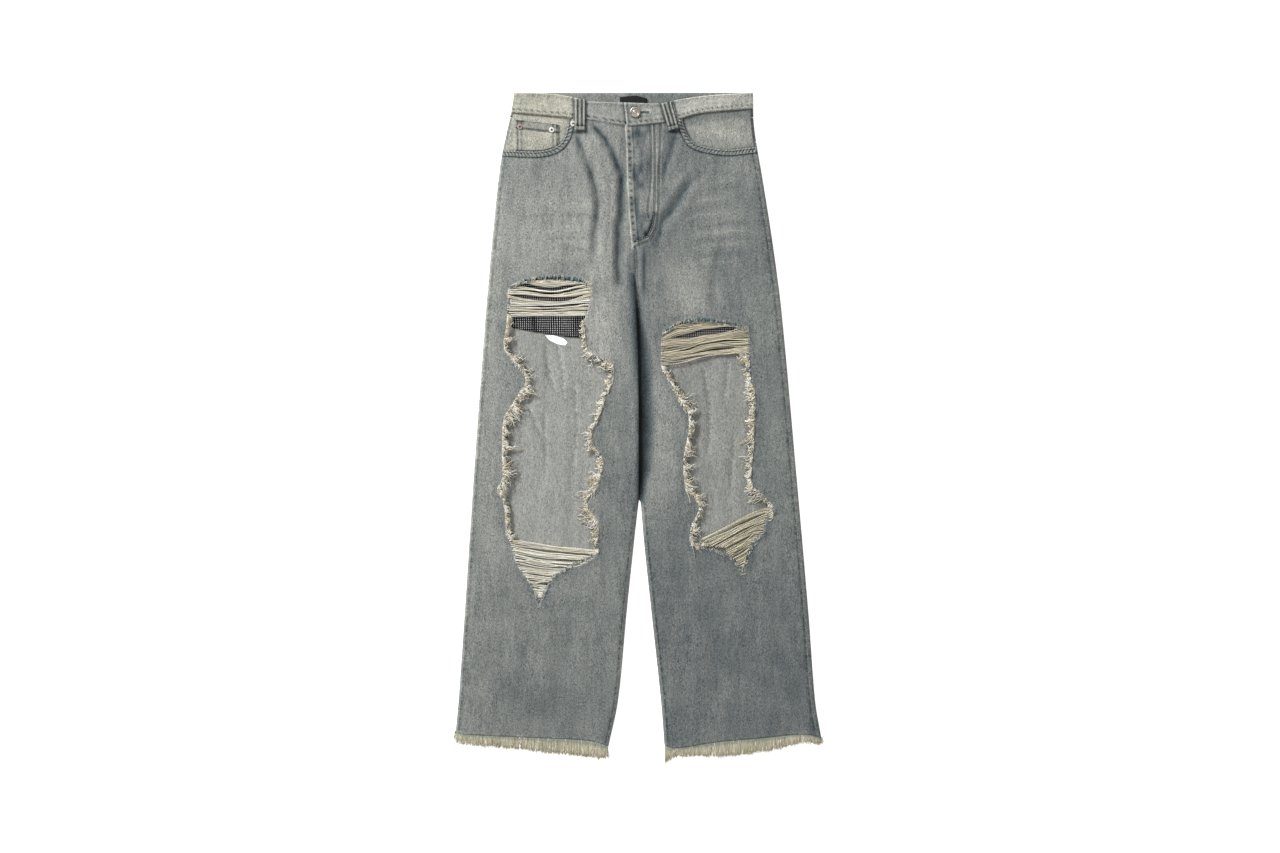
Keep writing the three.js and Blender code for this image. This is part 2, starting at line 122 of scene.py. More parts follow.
def along(path, x, y):
    """How far points are from a path, how far along it, and on which side: + is left of its direction."""
    x, y = np.asarray(x, float), np.asarray(y, float)
    path = np.asarray(path, float)
    best = np.full(np.broadcast(x, y).shape, 1e9)
    place = np.zeros_like(best)
    side = np.zeros_like(best)
    run = 0.0
    for (ax, ay), (bx, by) in zip(path[:-1], path[1:]):
        length = math.hypot(bx - ax, by - ay)
        ux, uy = (bx - ax) / length, (by - ay) / length
        t = np.clip((x - ax) * ux + (y - ay) * uy, 0, length)
        away = np.hypot(x - ax - ux * t, y - ay - uy * t)
        nearer = away < best
        best = np.where(nearer, away, best)
        place = np.where(nearer, run + t, place)
        side = np.where(nearer, np.sign(ux * (y - ay) - uy * (x - ax)), side)
        run += length
    return best, place, side


def path_length(path):
    return sum(math.dist(a, b) for a, b in zip(path[:-1], path[1:]))


def resample(points, step, closed=False):
    """The same path with points about a step apart."""
    points = np.asarray(points, float)
    if closed:
        points = np.vstack([points, points[:1]])
    lengths = np.hypot(*np.diff(points, axis=0).T)
    run = np.concatenate([[0], np.cumsum(lengths)])
    count = max(2, int(round(run[-1] / step)))
    stops = np.linspace(0, run[-1], count + 1)
    if closed:
        stops = stops[:-1]
    return np.column_stack([np.interp(stops, run, points[:, 0]), np.interp(stops, run, points[:, 1])])


def rounded(points, closed=False, passes=2):
    """The same path with its corners cut."""
    points = np.asarray(points, float)
    for _ in range(passes):
        after = np.roll(points, -1, axis=0)
        cut = np.stack([points * 0.75 + after * 0.25, points * 0.25 + after * 0.75], axis=1)
        if closed:
            points = cut.reshape(-1, 2)
        else:
            points = np.vstack([points[:1], cut[:-1].reshape(-1, 2), points[-1:]])
    return points


def inside(ring, x, y):
    """Which points are inside a closed ring."""
    ring = np.asarray(ring, float)
    found = np.zeros(np.shape(x), bool)
    for (ax, ay), (bx, by) in zip(ring, np.roll(ring, -1, axis=0)):
        if ay == by:
            continue
        crosses = (ay > y) != (by > y)
        found ^= crosses & (x < (bx - ax) * (y - ay) / (by - ay) + ax)
    return found


def noise(x, y, across, down, seed):
    """Soft noise from -1 to 1, with lumps about `across` wide and `down` high."""
    grid = np.random.default_rng(seed).uniform(-1, 1, (64, 64))
    u, v = np.asarray(x, float) / across + 31.7, np.asarray(y, float) / down + 17.3
    i, j = np.floor(u).astype(int), np.floor(v).astype(int)
    s, t = smooth_step(0, 1, u - i), smooth_step(0, 1, v - j)
    i0, i1, j0, j1 = i % 64, (i + 1) % 64, j % 64, (j + 1) % 64
    low = mix(grid[i0, j0], grid[i1, j0], s)
    high = mix(grid[i0, j1], grid[i1, j1], s)
    return mix(low, high, t)


# ---------------------------------------------------------------- outlines of the garment
side_right = upright([
    (-201, 534), (-206, 502), (-222, 426), (-233, 330), (-246, 186), (-264, -54), (-280, -294),
    (-290, -438), (-295, -490), (-297, -512),
])
side_left = upright([
    (180.5, 534), (182.5, 478), (196, 395), (211, 300), (226, 186), (248, -54), (269, -294), (280, -438),
    (288.5, -490), (293, -512),
])
inseam_right = upright([(-1, -110), (-9, -180), (-21, -294), (-35, -438), (-51, -514)])
inseam_left = upright([(0.5, -110), (6, -180), (18, -294), (33.5, -438), (39, -508)])
centre_front = upright([
    (-24.8, 518), (-20.5, 478), (-11, 290), (-10, 205), (-8, 150), (-7, 100), (-4, 0), (-3, -60),
    (-3, CROTCH),
])
centre_back = upright([(-10, 534), (-9, 400), (-4, 100), (-1, CROTCH)])
fly_edge = upright([
    (-24.4, 520), (-23.6, 470), (-21.8, 440), (-21.4, 400), (-20, 370), (-19, 350), (-17.4, 330),
    (-15.6, 310), (-14, 290), (-12, 270),
])
fold_edge = upright([
    (-12.4, 290), (-9.5, 245), (-7, 200), (-5.6, 170), (-4, 140), (-3, 110), (-2.4, 60), (-2, 20),
    (-2, -60), (-2.4, CROTCH),
])
band_top_right = line([(-201, 533.6), (-147, 532), (-106, 526), (-86, 520), (-25, 517.6)])
band_top_left = line([(-25, 517.6), (34, 516.5), (59, 522), (110, 529), (181, 533.6)])
band_seam_right = line([(-207, 501.6), (-109, 492.5), (-86, 490), (-20, 479.2)])
band_seam_left = line([(-20, 479.2), (40, 485.6), (58, 489.5), (96, 500), (183, 508)])
yoke_seam = line([(-225, 462), (-10, 424), (200, 458)])
hem_right = line([(-296, -488), (-280, -492), (-155, -498), (-82, -502), (-58, -508), (-48, -514)])
hem_left = line([(36, -508), (53, -514), (77, -512), (117, -505), (194, -498), (262, -492), (293, -499)])
fringe_end_right = line([(-298, -497), (-286, -505), (-192, -514), (-62, -529), (-46, -527)])
fringe_end_left = line([
    (36, -541), (48, -531), (60, -526), (146, -525), (210, -516), (258, -505), (296, -508),
])
MOUTH_RIGHT = [
    (-112, 520), (-114, 490), (-118, 466), (-126, 452), (-140, 443), (-160, 439), (-185, 439), (-250, 443),
    (-250, 520),
]
MOUTH_LEFT = [
    (64, 520), (68, 488), (76, 467), (83, 454), (104, 446), (140, 441), (165, 444), (230, 452), (230, 520),
]
MOUTH_PATH_RIGHT = rounded(MOUTH_RIGHT[:8])
MOUTH_PATH_LEFT = rounded(MOUTH_LEFT[:8])


def joined_right(y):
    """The right front's inner edge: under the fly above, over the left front below."""
    edge = mix(fold_edge(y), fly_edge(y) + 3.5, smooth_step(268, 290, y))
    return np.where(np.asarray(y) > CROTCH, edge, inseam_right(y))


def joined_left(y):
    under = fold_edge(y) - 11 * smooth_step(CROTCH, -60, y)
    return np.where(np.asarray(y) > CROTCH, mix(under, fly_edge(y), smooth_step(262, 290, y)), inseam_left(y))


def wall_outline(left, right, top, bottom, step=2.6):
    """A ring round what four edges enclose: left and right give x at each y, top and bottom y at each x."""
    def corner(side, edge):
        y = float(edge(0.0))
        for _ in range(14):
            x = float(side(y))
            y = float(edge(x))
        return x, y

    a, b = corner(left, top), corner(right, top)
    c, d = corner(right, bottom), corner(left, bottom)
    across_top = np.linspace(a[0], b[0], 90)
    down = np.linspace(b[1], c[1], 200)
    back = np.linspace(c[0], d[0], 90)
    up = np.linspace(d[1], a[1], 200)
    ring = np.vstack([
        np.column_stack([across_top, top(across_top)]),
        np.column_stack([right(down), down])[1:],
        np.column_stack([back, bottom(back)])[1:],
        np.column_stack([left(up), up])[1:-1],
    ])
    return resample(ring, step, closed=True)


# ---------------------------------------------------------------- the tears
# Each ring starts at the upper outer corner and follows the torn edge round against the clock.
TEAR_RIGHT_LEFT_EDGE = [
    (-190, 231), (-206, 222), (-209, 205), (-210, 180), (-212, 150), (-217, 135), (-212, 118),
    (-200, 108), (-190, 95), (-180, 80), (-181, 68), (-190, 55), (-200, 40), (-210, 25), (-217, 10),
    (-218, -20), (-218, -60), (-216, -75), (-220, -90), (-228, -102), (-218, -112), (-214, -130),
    (-213, -150), (-212, -170), (-206, -182), (-200, -205), (-192, -225), (-180, -240), (-170, -258),
    (-163, -275), (-161, -290),
]
TEAR_RIGHT_RIGHT_EDGE = [
    (-157, -270), (-150, -255), (-140, -243), (-125, -230), (-110, -224), (-90, -219), (-75, -210),
    (-68, -200), (-70, -185), (-66, -165), (-68, -150), (-78, -140), (-85, -128), (-88, -115),
    (-78, -105), (-68, -92), (-65, -80), (-60, -60), (-62, -45), (-75, -35), (-78, -20), (-78, 0),
    (-70, 10), (-62, 30), (-56, 50), (-50, 65), (-46, 80), (-42, 92), (-46, 101), (-60, 105), (-75, 113),
    (-86, 122), (-90, 140), (-90, 170), (-85, 185), (-80, 200), (-78, 222),
]
TEAR_RIGHT_TOP = [(-80, 229), (-95, 234), (-110, 238), (-130, 240), (-160, 238), (-185, 233)]
TEAR_LEFT_LEFT_EDGE = [
    (39, 152), (37, 138), (36, 120), (36, 97), (40, 88), (46, 79), (55, 65), (62, 50), (68, 40), (75, 32),
    (80, 20), (81, 0), (78, -20), (73, -40), (71, -55), (72, -75), (74, -95), (79, -105), (91, -112),
    (97, -128), (93, -143), (85, -155), (80, -170), (83, -190), (95, -193), (105, -190), (120, -198),
    (135, -203), (148, -212), (158, -222), (163, -236),
]
TEAR_LEFT_RIGHT_EDGE = [
    (167, -230), (170, -215), (173, -195), (182, -183), (195, -172), (199, -160), (201, -145),
    (212, -139), (213, -130), (203, -118), (190, -105), (178, -97), (175, -85), (177, -60), (180, -40),
    (180, -10), (181, 10), (182, 30), (183, 45), (180, 65), (174, 80), (173, 100), (173, 115), (173, 140),
    (171, 155),
]
TEAR_LEFT_TOP = [
    (168, 160), (155, 163), (135, 167), (115, 171), (95, 172), (75, 170), (60, 165), (46, 157),
]


def torn(ring, seed):
    """A torn edge: the ring with fine ragged teeth."""
    ring = resample(rounded(ring, closed=True, passes=2), 2.0, closed=True)
    run = np.arange(len(ring)) * 2.0
    after, before = np.roll(ring, -1, axis=0), np.roll(ring, 1, axis=0)
    way = after - before
    way /= np.maximum(np.hypot(*way.T), 1e-6)[:, None]
    out = np.column_stack([way[:, 1], -way[:, 0]])
    ragged = 1.3 * noise(run, run * 0, 5, 1, seed) + 0.7 * noise(run, run * 0, 2.1, 1, seed + 1)
    return ring + out * ragged[:, None]


TEAR_RIGHT = torn(TEAR_RIGHT_LEFT_EDGE + TEAR_RIGHT_RIGHT_EDGE + TEAR_RIGHT_TOP, 11)
TEAR_LEFT = torn(TEAR_LEFT_LEFT_EDGE + TEAR_LEFT_RIGHT_EDGE + TEAR_LEFT_TOP, 23)


# ---------------------------------------------------------------- heights
def seat_rise(y):
    return SEAT_RISE * smooth_step(60, 230, y)


def back_top(x, y):
    return seat_rise(y) + DENIM


def roll_up(distance):
    """The round rise of the front from a side seam: 0 at the seam, 1 past the roll."""
    t = np.clip(distance / ROLL, 0, 1)
    return np.sqrt(t * (2 - t))


# Folds: (depth, width, side ridge, path). Negative depth is a trough.
FOLDS = [
    (-3.6, 6, 1.5, [
        (-100, 468), (-94, 450), (-86, 430), (-77, 408), (-70, 386), (-66, 362), (-67, 335), (-71, 300),
        (-72, 262),
    ]),
    (-4.2, 6, 1.8, [
        (-74, 482), (-62, 470), (-54, 460), (-42, 440), (-34, 420), (-27, 400), (-28, 360), (-27, 342),
        (-33, 320), (-32, 295), (-34, 262), (-30, 215),
    ]),
    (1.8, 15, 0.0, [(-84, 470), (-58, 420), (-50, 370), (-50, 300), (-56, 220)]),
    (-1.6, 10, 0.4, [(-150, 434), (-158, 410), (-166, 372)]),
    (-1.4, 8, 0.4, [(-113, 300), (-111, 245)]),
    (-2.8, 6.5, 1.0, [(56, 468), (49, 444), (43, 430), (39, 415), (38, 386)]),
    (-3.0, 7, 1.2, [
        (92, 402), (84, 395), (78, 386), (68, 374), (60, 358), (47, 340), (36, 329), (31, 314), (29, 288),
    ]),
    (-2.0, 7, 0.6, [(129, 300), (125, 265), (119, 230), (117, 178)]),
    (2.0, 26, 0.0, [(-56, 130), (-34, 20), (-30, -90)]),
    (1.6, 24, 0.0, [(96, 260), (80, 215)]),
    (1.4, 24, 0.0, [(-68, 262), (-84, 214)]),
    (-1.3, 12, 0.5, [(-250, 120), (-238, 20), (-240, -80)]),
    (-1.2, 12, 0.5, [(212, 130), (206, 30), (214, -60)]),
    (-1.3, 14, 0.5, [(-120, -300), (-132, -380), (-128, -460)]),
    (-1.1, 14, 0.5, [(-232, -260), (-226, -340)]),
    (-1.3, 14, 0.5, [(112, -270), (122, -350), (116, -440)]),
    (-1.1, 14, 0.5, [(214, -220), (222, -330), (220, -400)]),
    (-1.0, 10, 0.4, [(54, -150), (60, -220), (66, -300)]),
    (-1.0, 10, 0.4, [(-46, -150), (-52, -230), (-60, -300)]),
]


def folds(x, y):
    total = np.zeros(np.broadcast(x, y).shape)
    for depth, width, ridge, path in FOLDS:
        away, run, _ = along(path, x, y)
        length = path_length(path)
        taper = smooth_step(-2, 22, run) * smooth_step(-2, 22, length - run)
        t = away / width
        total += depth * taper * np.exp(-t * t)
        total += ridge * taper * np.exp(-((t - 2.1) ** 2) * 1.6)
    return total


# The shade down a deep fold: (darkness at its top, darkness at its foot, path), sharp on the inner side.
FOLD_SHADES = [
    (52, 12, [(x - 3, y) for x, y in FOLDS[0][3]]),
    (70, 26, [(x - 3, y) for x, y in FOLDS[1][3]]),
    (46, 24, [(56, 468), (49, 444), (43, 430), (39, 415), (38, 386)]),
    (10, 42, [
        (104, 408), (90, 399), (79, 388), (68, 374), (60, 358), (47, 340), (36, 329), (31, 314), (29, 288),
    ]),
    (22, 20, [(124, 442), (112, 440), (96, 442), (84, 452), (76, 470)]),
]


def fold_shades(x, y):
    total = np.zeros(np.broadcast(x, y).shape)
    for top, foot, path in FOLD_SHADES:
        away, run, side = along(path, x, y)
        length = path_length(path)
        taper = smooth_step(-6, 10, run) * smooth_step(-6, 26, length - run)
        soft = 0.68 * bell(away, 3.6) + 0.32 * bell(away, 11)
        shade = np.where(side > 0, bell(away, 3.4), soft)
        total += mix(top, foot, run / length) * taper * shade
    return total * (0.92 + 0.42 * noise(x, y, 8, 12, 86))


# Whiskers: fine creases worn light or dark over the hips: (lightness change, path).
WHISKERS = [
    (9, [(-122, 348), (-95, 351), (-66, 349)]),
    (-12, [(-124, 337), (-95, 337), (-62, 333)]),
    (9, [(-150, 314), (-110, 318), (-66, 312)]),
    (-12, [(-155, 300), (-110, 301), (-64, 296)]),
    (-8, [(-150, 281), (-110, 284), (-70, 279)]),
    (7, [(-150, 268), (-110, 270), (-72, 268)]),
    (-7, [(-196, 330), (-170, 336), (-140, 335)]),
    (-7, [(-206, 296), (-180, 300), (-160, 300)]),
    (7, [(-200, 312), (-170, 318), (-150, 316)]),
    (-6, [(-140, 252), (-110, 255), (-84, 252)]),
    (10, [(62, 350), (104, 362), (150, 367)]),
    (-9, [(70, 338), (110, 350), (156, 354)]),
    (8, [(60, 330), (104, 338), (168, 342)]),
    (-10, [(96, 318), (147, 325), (182, 324)]),
    (11, [(78, 304), (130, 310), (190, 314)]),
    (-10, [(100, 296), (140, 300), (186, 299)]),
    (9, [(76, 284), (120, 289), (180, 292)]),
    (-8, [(84, 270), (130, 276), (184, 276)]),
    (8, [(72, 258), (110, 262), (160, 262)]),
    (8, [(96, 382), (130, 392), (176, 396)]),
    (-7, [(100, 372), (134, 380), (172, 384)]),
    (6, [(110, 408), (140, 414), (180, 416)]),
    (6, [(20, 4), (42, -8), (62, -22)]),
    (-6, [(18, -8), (40, -20), (60, -34)]),
    (6, [(20, 30), (40, 22), (60, 12)]),
    (6, [(18, -40), (40, -52), (58, -66)]),
]


def whiskers(x, y):
    total = np.zeros(np.broadcast(x, y).shape)
    for change, path in WHISKERS:
        away, run, _ = along(path, x, y)
        length = path_length(path)
        taper = smooth_step(-4, 26, run) * smooth_step(-4, 26, length - run)
        total += change * taper * bell(away, 3.6)
    return total


def room_below(y):
    """The least room that the bags, facings and threads need under a front."""
    return mix(0.6, 1.9, smooth_step(90, 130, y)) + 1.6 * smooth_step(390, 415, y)


def undulation(x, y):
    """The soft unevenness of cloth that has been worn and laid down."""
    wide = 1.0 * noise(x, y, 74, 120, 3) + 0.45 * noise(x, y, 31, 52, 4)
    return wide + 0.22 * noise(x, y, 11, 17, 5)


def seam_pucker(distance, run, seed):
    """The small waves beside a line of stitching."""
    wave = noise(run, run * 0, 5.5, 1, seed) + 0.6 * noise(run, run * 0, 2.8, 1, seed + 1)
    return 0.55 * wave * bell(distance, 6)


def torn_curl(tear, x, y, seed):
    """Cloth lifts and curls a little at a torn edge."""
    away, run, _ = along(np.vstack([tear[::3], tear[:1]]), x, y)
    lift = 0.7 + 0.9 * noise(run, run * 0, 19, 1, seed) + 0.5 * noise(run, run * 0, 6, 1, seed + 1)
    return lift * bell(away, 6.5)


def front_height(x, y, is_right):
    """The outer face of a front panel."""
    x, y = np.asarray(x, float), np.asarray(y, float)
    side = side_right if is_right else side_left
    inseam = inseam_right if is_right else inseam_left
    centre = centre_front(np.clip(y, CROTCH, 518))
    from_side = np.abs(x - side(y))
    apart = smooth_step(-60, -160, y)
    from_inseam = np.abs(x - inseam(np.clip(y, -514, -110)))
    roll = roll_up(from_side) * mix(1, roll_up(from_inseam), apart)
    near = 1 - smooth_step(0, 40, np.abs(x - centre))
    edge = bell(x - centre, 9)
    fly = smooth_step(200, 262, y)
    if is_right:
        lap = near * mix(2.6, 0.0, fly) + edge * mix(1.6, 0.0, fly)
        lap = lap - 1.8 * smooth_step(7, -1, np.abs(x - fold_edge(y))) * (1 - fly)
    else:
        lap = near * mix(-1.2, FLY_STEP, fly) - 2.6 * bell(x - centre - 1, 13) * (1 - fly)
    puff = PUFF - WAIST_EASE * smooth_step(440, 475, y)
    rise = puff + folds(x, y) + lap * (1 - apart) + undulation(x, y) + 0.045 * whiskers(x, y)
    rise = np.maximum(rise, room_below(y))
    height = back_top(x, y) + GAP + rise * roll + DENIM
    height = height + seam_pucker(np.abs(from_side - 5), y, 41) * smooth_step(-0.5, 3, from_side)
    height = height + seam_pucker(from_inseam, y, 43) * apart
    height = height + torn_curl(TEAR_RIGHT if is_right else TEAR_LEFT, x, y, 51)
    mouth = MOUTH_PATH_RIGHT if is_right else MOUTH_PATH_LEFT
    away, run, _ = along(mouth, x, y)
    hem_edge = 1.1 * smooth_step(10.2, 8.6, away) * smooth_step(-0.8, 1.6, away)
    rope = 0.5 * np.sin(run * 2 * math.pi / 5.6 + away * 0.8) * smooth_step(9.5, 7, away)
    height = height + hem_edge + rope
    if not is_right:
        from_fly = x - fly_edge(y) - 1.4
        height = height + 0.5 * smooth_step(9, 6, from_fly) * fly * smooth_step(-0.5, 1.5, from_fly)
        height = height - 0.5 * fly_dots(y) * bell(from_fly - 4.6, 2.4) * fly
        for row in FLY_ROWS:
            away = along(row, x, y)[0]
            height = height - 0.5 * bell(away, 1.6) + 0.3 * bell(away - 3.4, 1.4)
    return height


def fly_dots(y):
    """The row of puckers down the fly's edge, where dips in the cloth are painted dark as shade."""
    return smooth_step(0.0, 0.8, np.sin(y * 2 * math.pi / 10.4 + 1.5 * noise(y, y * 0, 24, 1, 70)))


FLY_ROWS = [
    [(16.5, 484), (17.5, 440), (17.6, 400), (15, 370), (12, 348), (14, 334)],
    [(22.6, 484), (23.5, 440), (24, 400), (23, 345), (20, 322), (12, 304), (-8, 295)],
    [(33, 484), (31.5, 440), (29.5, 400), (29.5, 350), (26, 316), (14, 296), (-9, 287)],
]


def right_height(x, y):
    return front_height(x, y, True)


def left_height(x, y):
    return front_height(x, y, False)


def band_under(x, y):
    from_sides = roll_up(x - side_right(y)) * roll_up(side_left(y) - x)
    return SEAT_RISE + BAND + GAP + 2.2 * np.maximum(from_sides, 0)


def band_under_left(x, y):
    return band_under(x, y) + FLY_STEP * (1 - smooth_step(-24, 26, x))


# ---------------------------------------------------------------- the wash and painted shade, as a display level of 255
LOOP_PATHS = [[(-96, 526), (-96, 473)], [(42, 520), (54, 474)]]
base_right = line([
    (-510, 126), (-400, 129), (-300, 133), (-200, 139), (-100, 144), (0, 147), (100, 150), (200, 150),
    (300, 150), (400, 148), (520, 150),
])
base_left = line([
    (-510, 114), (-400, 116), (-300, 117), (-200, 122), (-100, 128), (0, 130), (100, 130), (200, 128),
    (300, 125), (400, 125), (520, 126),
])


def spot(x, y, centre_x, centre_y, wide, high):
    return np.exp(-(((x - centre_x) / wide) ** 2) - ((y - centre_y) / high) ** 2)


def wash_and_shade_right(x, y):
    tone = base_right(y)
    tone = tone + 20 * spot(x, y, -72, 168, 30, 62) + 8 * spot(x, y, -130, 330, 70, 60)
    tone = tone - 16 * smooth_step(-90, -50, x) * smooth_step(-230, -120, y) * smooth_step(120, 40, y)
    tone = tone + 8 * smooth_step(-200, -250, x) * smooth_step(260, 100, y)
    # Painted shade beside the centre fold, where the right front lies over the left.
    from_fold = fold_edge(np.clip(y, CROTCH, 290)) - x
    painted_fold_shadow = 46 * bell(from_fold, 9) + 22 * bell(from_fold, 22)
    tone = tone - painted_fold_shadow * smooth_step(30, 120, y) * smooth_step(290, 230, y)
    tone = tone - 24 * bell(from_fold, 4) * smooth_step(60, -20, y)
    # Painted shade about fold B and down it.
    tone = tone - 6 * spot(x, y, -45, 300, 22, 90)
    tone = tone - 20 * bell(x + 27, 6) * smooth_step(240, 300, y)
    return tone


shade_reach = line([(-119, 12), (-85, 17), (-55, 26), (50, 27), (110, 24), (140, 18), (170, 12), (200, 10)])


def wash_and_shade_left(x, y):
    tone = base_left(y)
    tone = tone + 34 * spot(x, y, 78, 208, 34, 44) + 10 * spot(x, y, 130, 310, 60, 50)
    tone = tone + 18 * smooth_step(70, 30, x) * smooth_step(150, 60, y) * smooth_step(-200, -100, y)
    # Painted shadow cast by the overlapping right front, in a band beside the centre fold.
    from_fold = x - fold_edge(np.clip(y, CROTCH, 290))
    reach = shade_reach(y)
    fold_shade = smooth_step(-135, -104, y) * smooth_step(222, 180, y)
    fold_shade = fold_shade * smooth_step(1.15 * reach, 0.12 * reach, from_fold)
    tone = mix(tone, 40, fold_shade)
    # Down the centre seam: a dark stitched line, and painted shade at the fold edge.
    seam = smooth_step(196, 225, y) * smooth_step(292, 270, y)
    tone = tone - 40 * seam * bell(x - 6.5, 2.2) - 36 * seam * bell(x + 8, 2.6)
    # Painted shade beside the upper fold and down the fold near x 130.
    tone = tone - 10 * bell(from_fold - 12, 9) * smooth_step(200, 240, y) * smooth_step(290, 260, y)
    tone = tone - 10 * bell(x - 132, 9) * spot(x, y, 132, 262, 40, 30)
    return tone


def wear_and_shade(x, y, is_right):
    """A front panel's lightness: its wash, whiskers and hems, with painted light and shade over its folds,
    seams, pocket mouth, waistband foot, belt-loop feet and, on the left, its fly.
    """
    tone = wash_and_shade_right(x, y) if is_right else wash_and_shade_left(x, y)
    tear = TEAR_RIGHT if is_right else TEAR_LEFT
    mouth = MOUTH_PATH_RIGHT if is_right else MOUTH_PATH_LEFT
    side = side_right if is_right else side_left
    band_seam = band_seam_right if is_right else band_seam_left
    broken = 1.0 + 0.5 * noise(x, y, 34, 11, 66)
    # Whiskers, with painted light and shade over the folds: ridges lighter, troughs darker and deep folds
    # shaded.
    tone = tone + whiskers(x, y) * broken + 2.5 * folds(x, y) - fold_shades(x, y)
    tone = tone + 5 * noise(x, y, 40, 60, 61) + 5 * noise(x, y, 9, 40, 62) + 4 * noise(x, y, 46, 13, 67)
    # Painted shadow under the waistband's foot.
    tone = tone - 30 * bell(band_seam(x) - y, 2.6)
    away = along(np.vstack([tear[::3], tear[:1]]), x, y)[0]
    tone = tone + 10 * bell(away, 2.5) - 8 * bell(away - 7, 5)
    away, run, _ = along(mouth, x, y)
    rim = smooth_step(10, 8, away)
    tone = mix(tone, 122, 0.8 * rim)
    rope = np.sin(run * 2 * math.pi / 5.6 + away * 0.8 + 1.5 * noise(run, run * 0, 30, 1, 74))
    # Along the mouth: roping over its rim, a light line at the edge, and dark lines by the stitching and at
    # the rim's outer edge, partly roping and partly painted shade.
    tone = tone + rim * 40 * rope + 10 * rim * bell(away - 5, 2.5)
    tone = tone + 26 * bell(away, 1.3) - (48 + 20 * rope) * bell(away - 9.6, 1.5)
    tone = tone - 44 * bell(away - 2.8, 1.1)
    # Painted shadow under each belt loop's foot and down its right side.
    for loop_path in LOOP_PATHS:
        foot_x, foot_y = loop_path[1]
        tone = tone - 80 * spot(x, y, foot_x + 1, foot_y - 3, 12, 2.6)
        tone = tone - 60 * spot(x, y, foot_x + 11, foot_y + 4, 2, 8)
    from_side = np.abs(x - side(y))
    in_by = 5.0 if is_right else 9.0
    dashes = 0.8 + 0.9 * noise(y, y * 0, 4, 1, 63)
    # Beside each side seam a lighter strip, and painted shade along the seam line, broken into dashes.
    tone = tone + 16 * bell(from_side - in_by + 4, 2.2)
    tone = tone - 34 * dashes * bell(from_side - in_by, 1.6)
    inseam = inseam_right if is_right else inseam_left
    from_inseam = np.abs(x - inseam(np.clip(y, -514, -110)))
    below = smooth_step(-110, -135, y)
    # The same along the inseam below the crotch: a lighter strip and the seam's painted shade.
    tone = tone + below * 16 * bell(from_inseam - 2, 2)
    tone = tone - below * 40 * dashes * bell(from_inseam - 6, 1.7)
    hem = hem_right(x) if is_right else hem_left(x)
    tone = tone + 10 * smooth_step(7, 1, y - hem)
    tone = tone + 4 * noise(x, x * 0, 6, 1, 64) * smooth_step(18, 4, y - hem)
    if not is_right:
        from_fly = x - fly_edge(np.clip(y, 270, 520)) - 1.4
        fly = smooth_step(278, 290, y)
        # Painted highlight on the fly's lit edge, and painted shade in the row of puckers.
        tone = tone + fly * 68 * bell(from_fly, 1.9) + fly * 14 * bell(from_fly - 5, 3)
        tone = tone - fly * 66 * fly_dots(y) * bell(from_fly - 4.4, 2.0)
        # By the edge stitching: a painted highlight on its ridge and painted shade in its groove.
        tone = tone + fly * (24 * bell(from_fly - 8, 1.3) - 34 * bell(from_fly - 10.4, 1.3))
        tone = tone + fly * 26 * noise(x, y, 6, 13, 73) * smooth_step(44, 34, from_fly)
        tone = tone + (1 - fly) * 24 * bell(x + 0.5, 2.6) * smooth_step(205, 235, y)
        # Painted shade in each J-stitch row's groove, with a painted highlight on the ridge beside it.
        for row in FLY_ROWS:
            away = along(row, x, y)[0]
            tone = tone - 58 * bell(away, 1.2) + 18 * bell(away - 2.9, 1.1)
        slash = along([(23, 340), (18, 322), (11, 306)], x, y)[0]
        tone = tone - 84 * bell(slash, 3.2) - 40 * spot(x, y, -6, 300, 7, 3) - 44 * spot(x, y, 8, 308, 3, 6)
        for dark, *where in ((30, -3, 470, 7, 6), (26, 4, 452, 5, 7), (22, 1, 410, 4, 8)):
            tone = tone - dark * spot(x, y, *where)
    return tone


# ---------------------------------------------------------------- making pieces
def display_to_light(display):
    """A display level of 255 as an amount of light."""
    value = np.clip(np.asarray(display, float) / 255, 0, 1)
    return np.where(value > 0.04045, ((value + 0.055) / 1.055) ** 2.4, value / 12.92)


def in_frame(x, y, z):
    return np.column_stack([x + SHIFT_X, y + SHIFT_Y, z]) / 1000


def select_only(piece):
    bpy.ops.object.select_all(action="DESELECT")
    piece.select_set(True)
    bpy.context.view_layer.objects.active = piece


def link(name, mesh, materials):
    piece = bpy.data.objects.new(name, mesh)
    bpy.context.scene.collection.objects.link(piece)
    for material in materials:
        mesh.materials.append(material)
    return piece


def paint(mesh, colours):
    # The lightness painted here holds the wash together with painted shade and highlights.
    layer = mesh.color_attributes.new("wash_and_shade", "FLOAT_COLOR", "POINT")
    filled = np.ones((len(mesh.vertices), 4), np.float32)
    filled[:, : colours.shape[1]] = colours
    layer.data.foreach_set("color", filled.ravel())


def fine_points(path, reach, spacing):
    """Points set close together within a reach of a path."""
    low, high = np.min(path, axis=0) - reach, np.max(path, axis=0) + reach
    x, y = np.meshgrid(np.arange(low[0], high[0], spacing), np.arange(low[1], high[1], spacing))
    x, y = x.ravel() + 0.1 * noise(x.ravel(), y.ravel(), 1.3, 1.7, 76), y.ravel()
    close = along(path, x, y)[0] < reach
    return np.column_stack([x[close], y[close]])


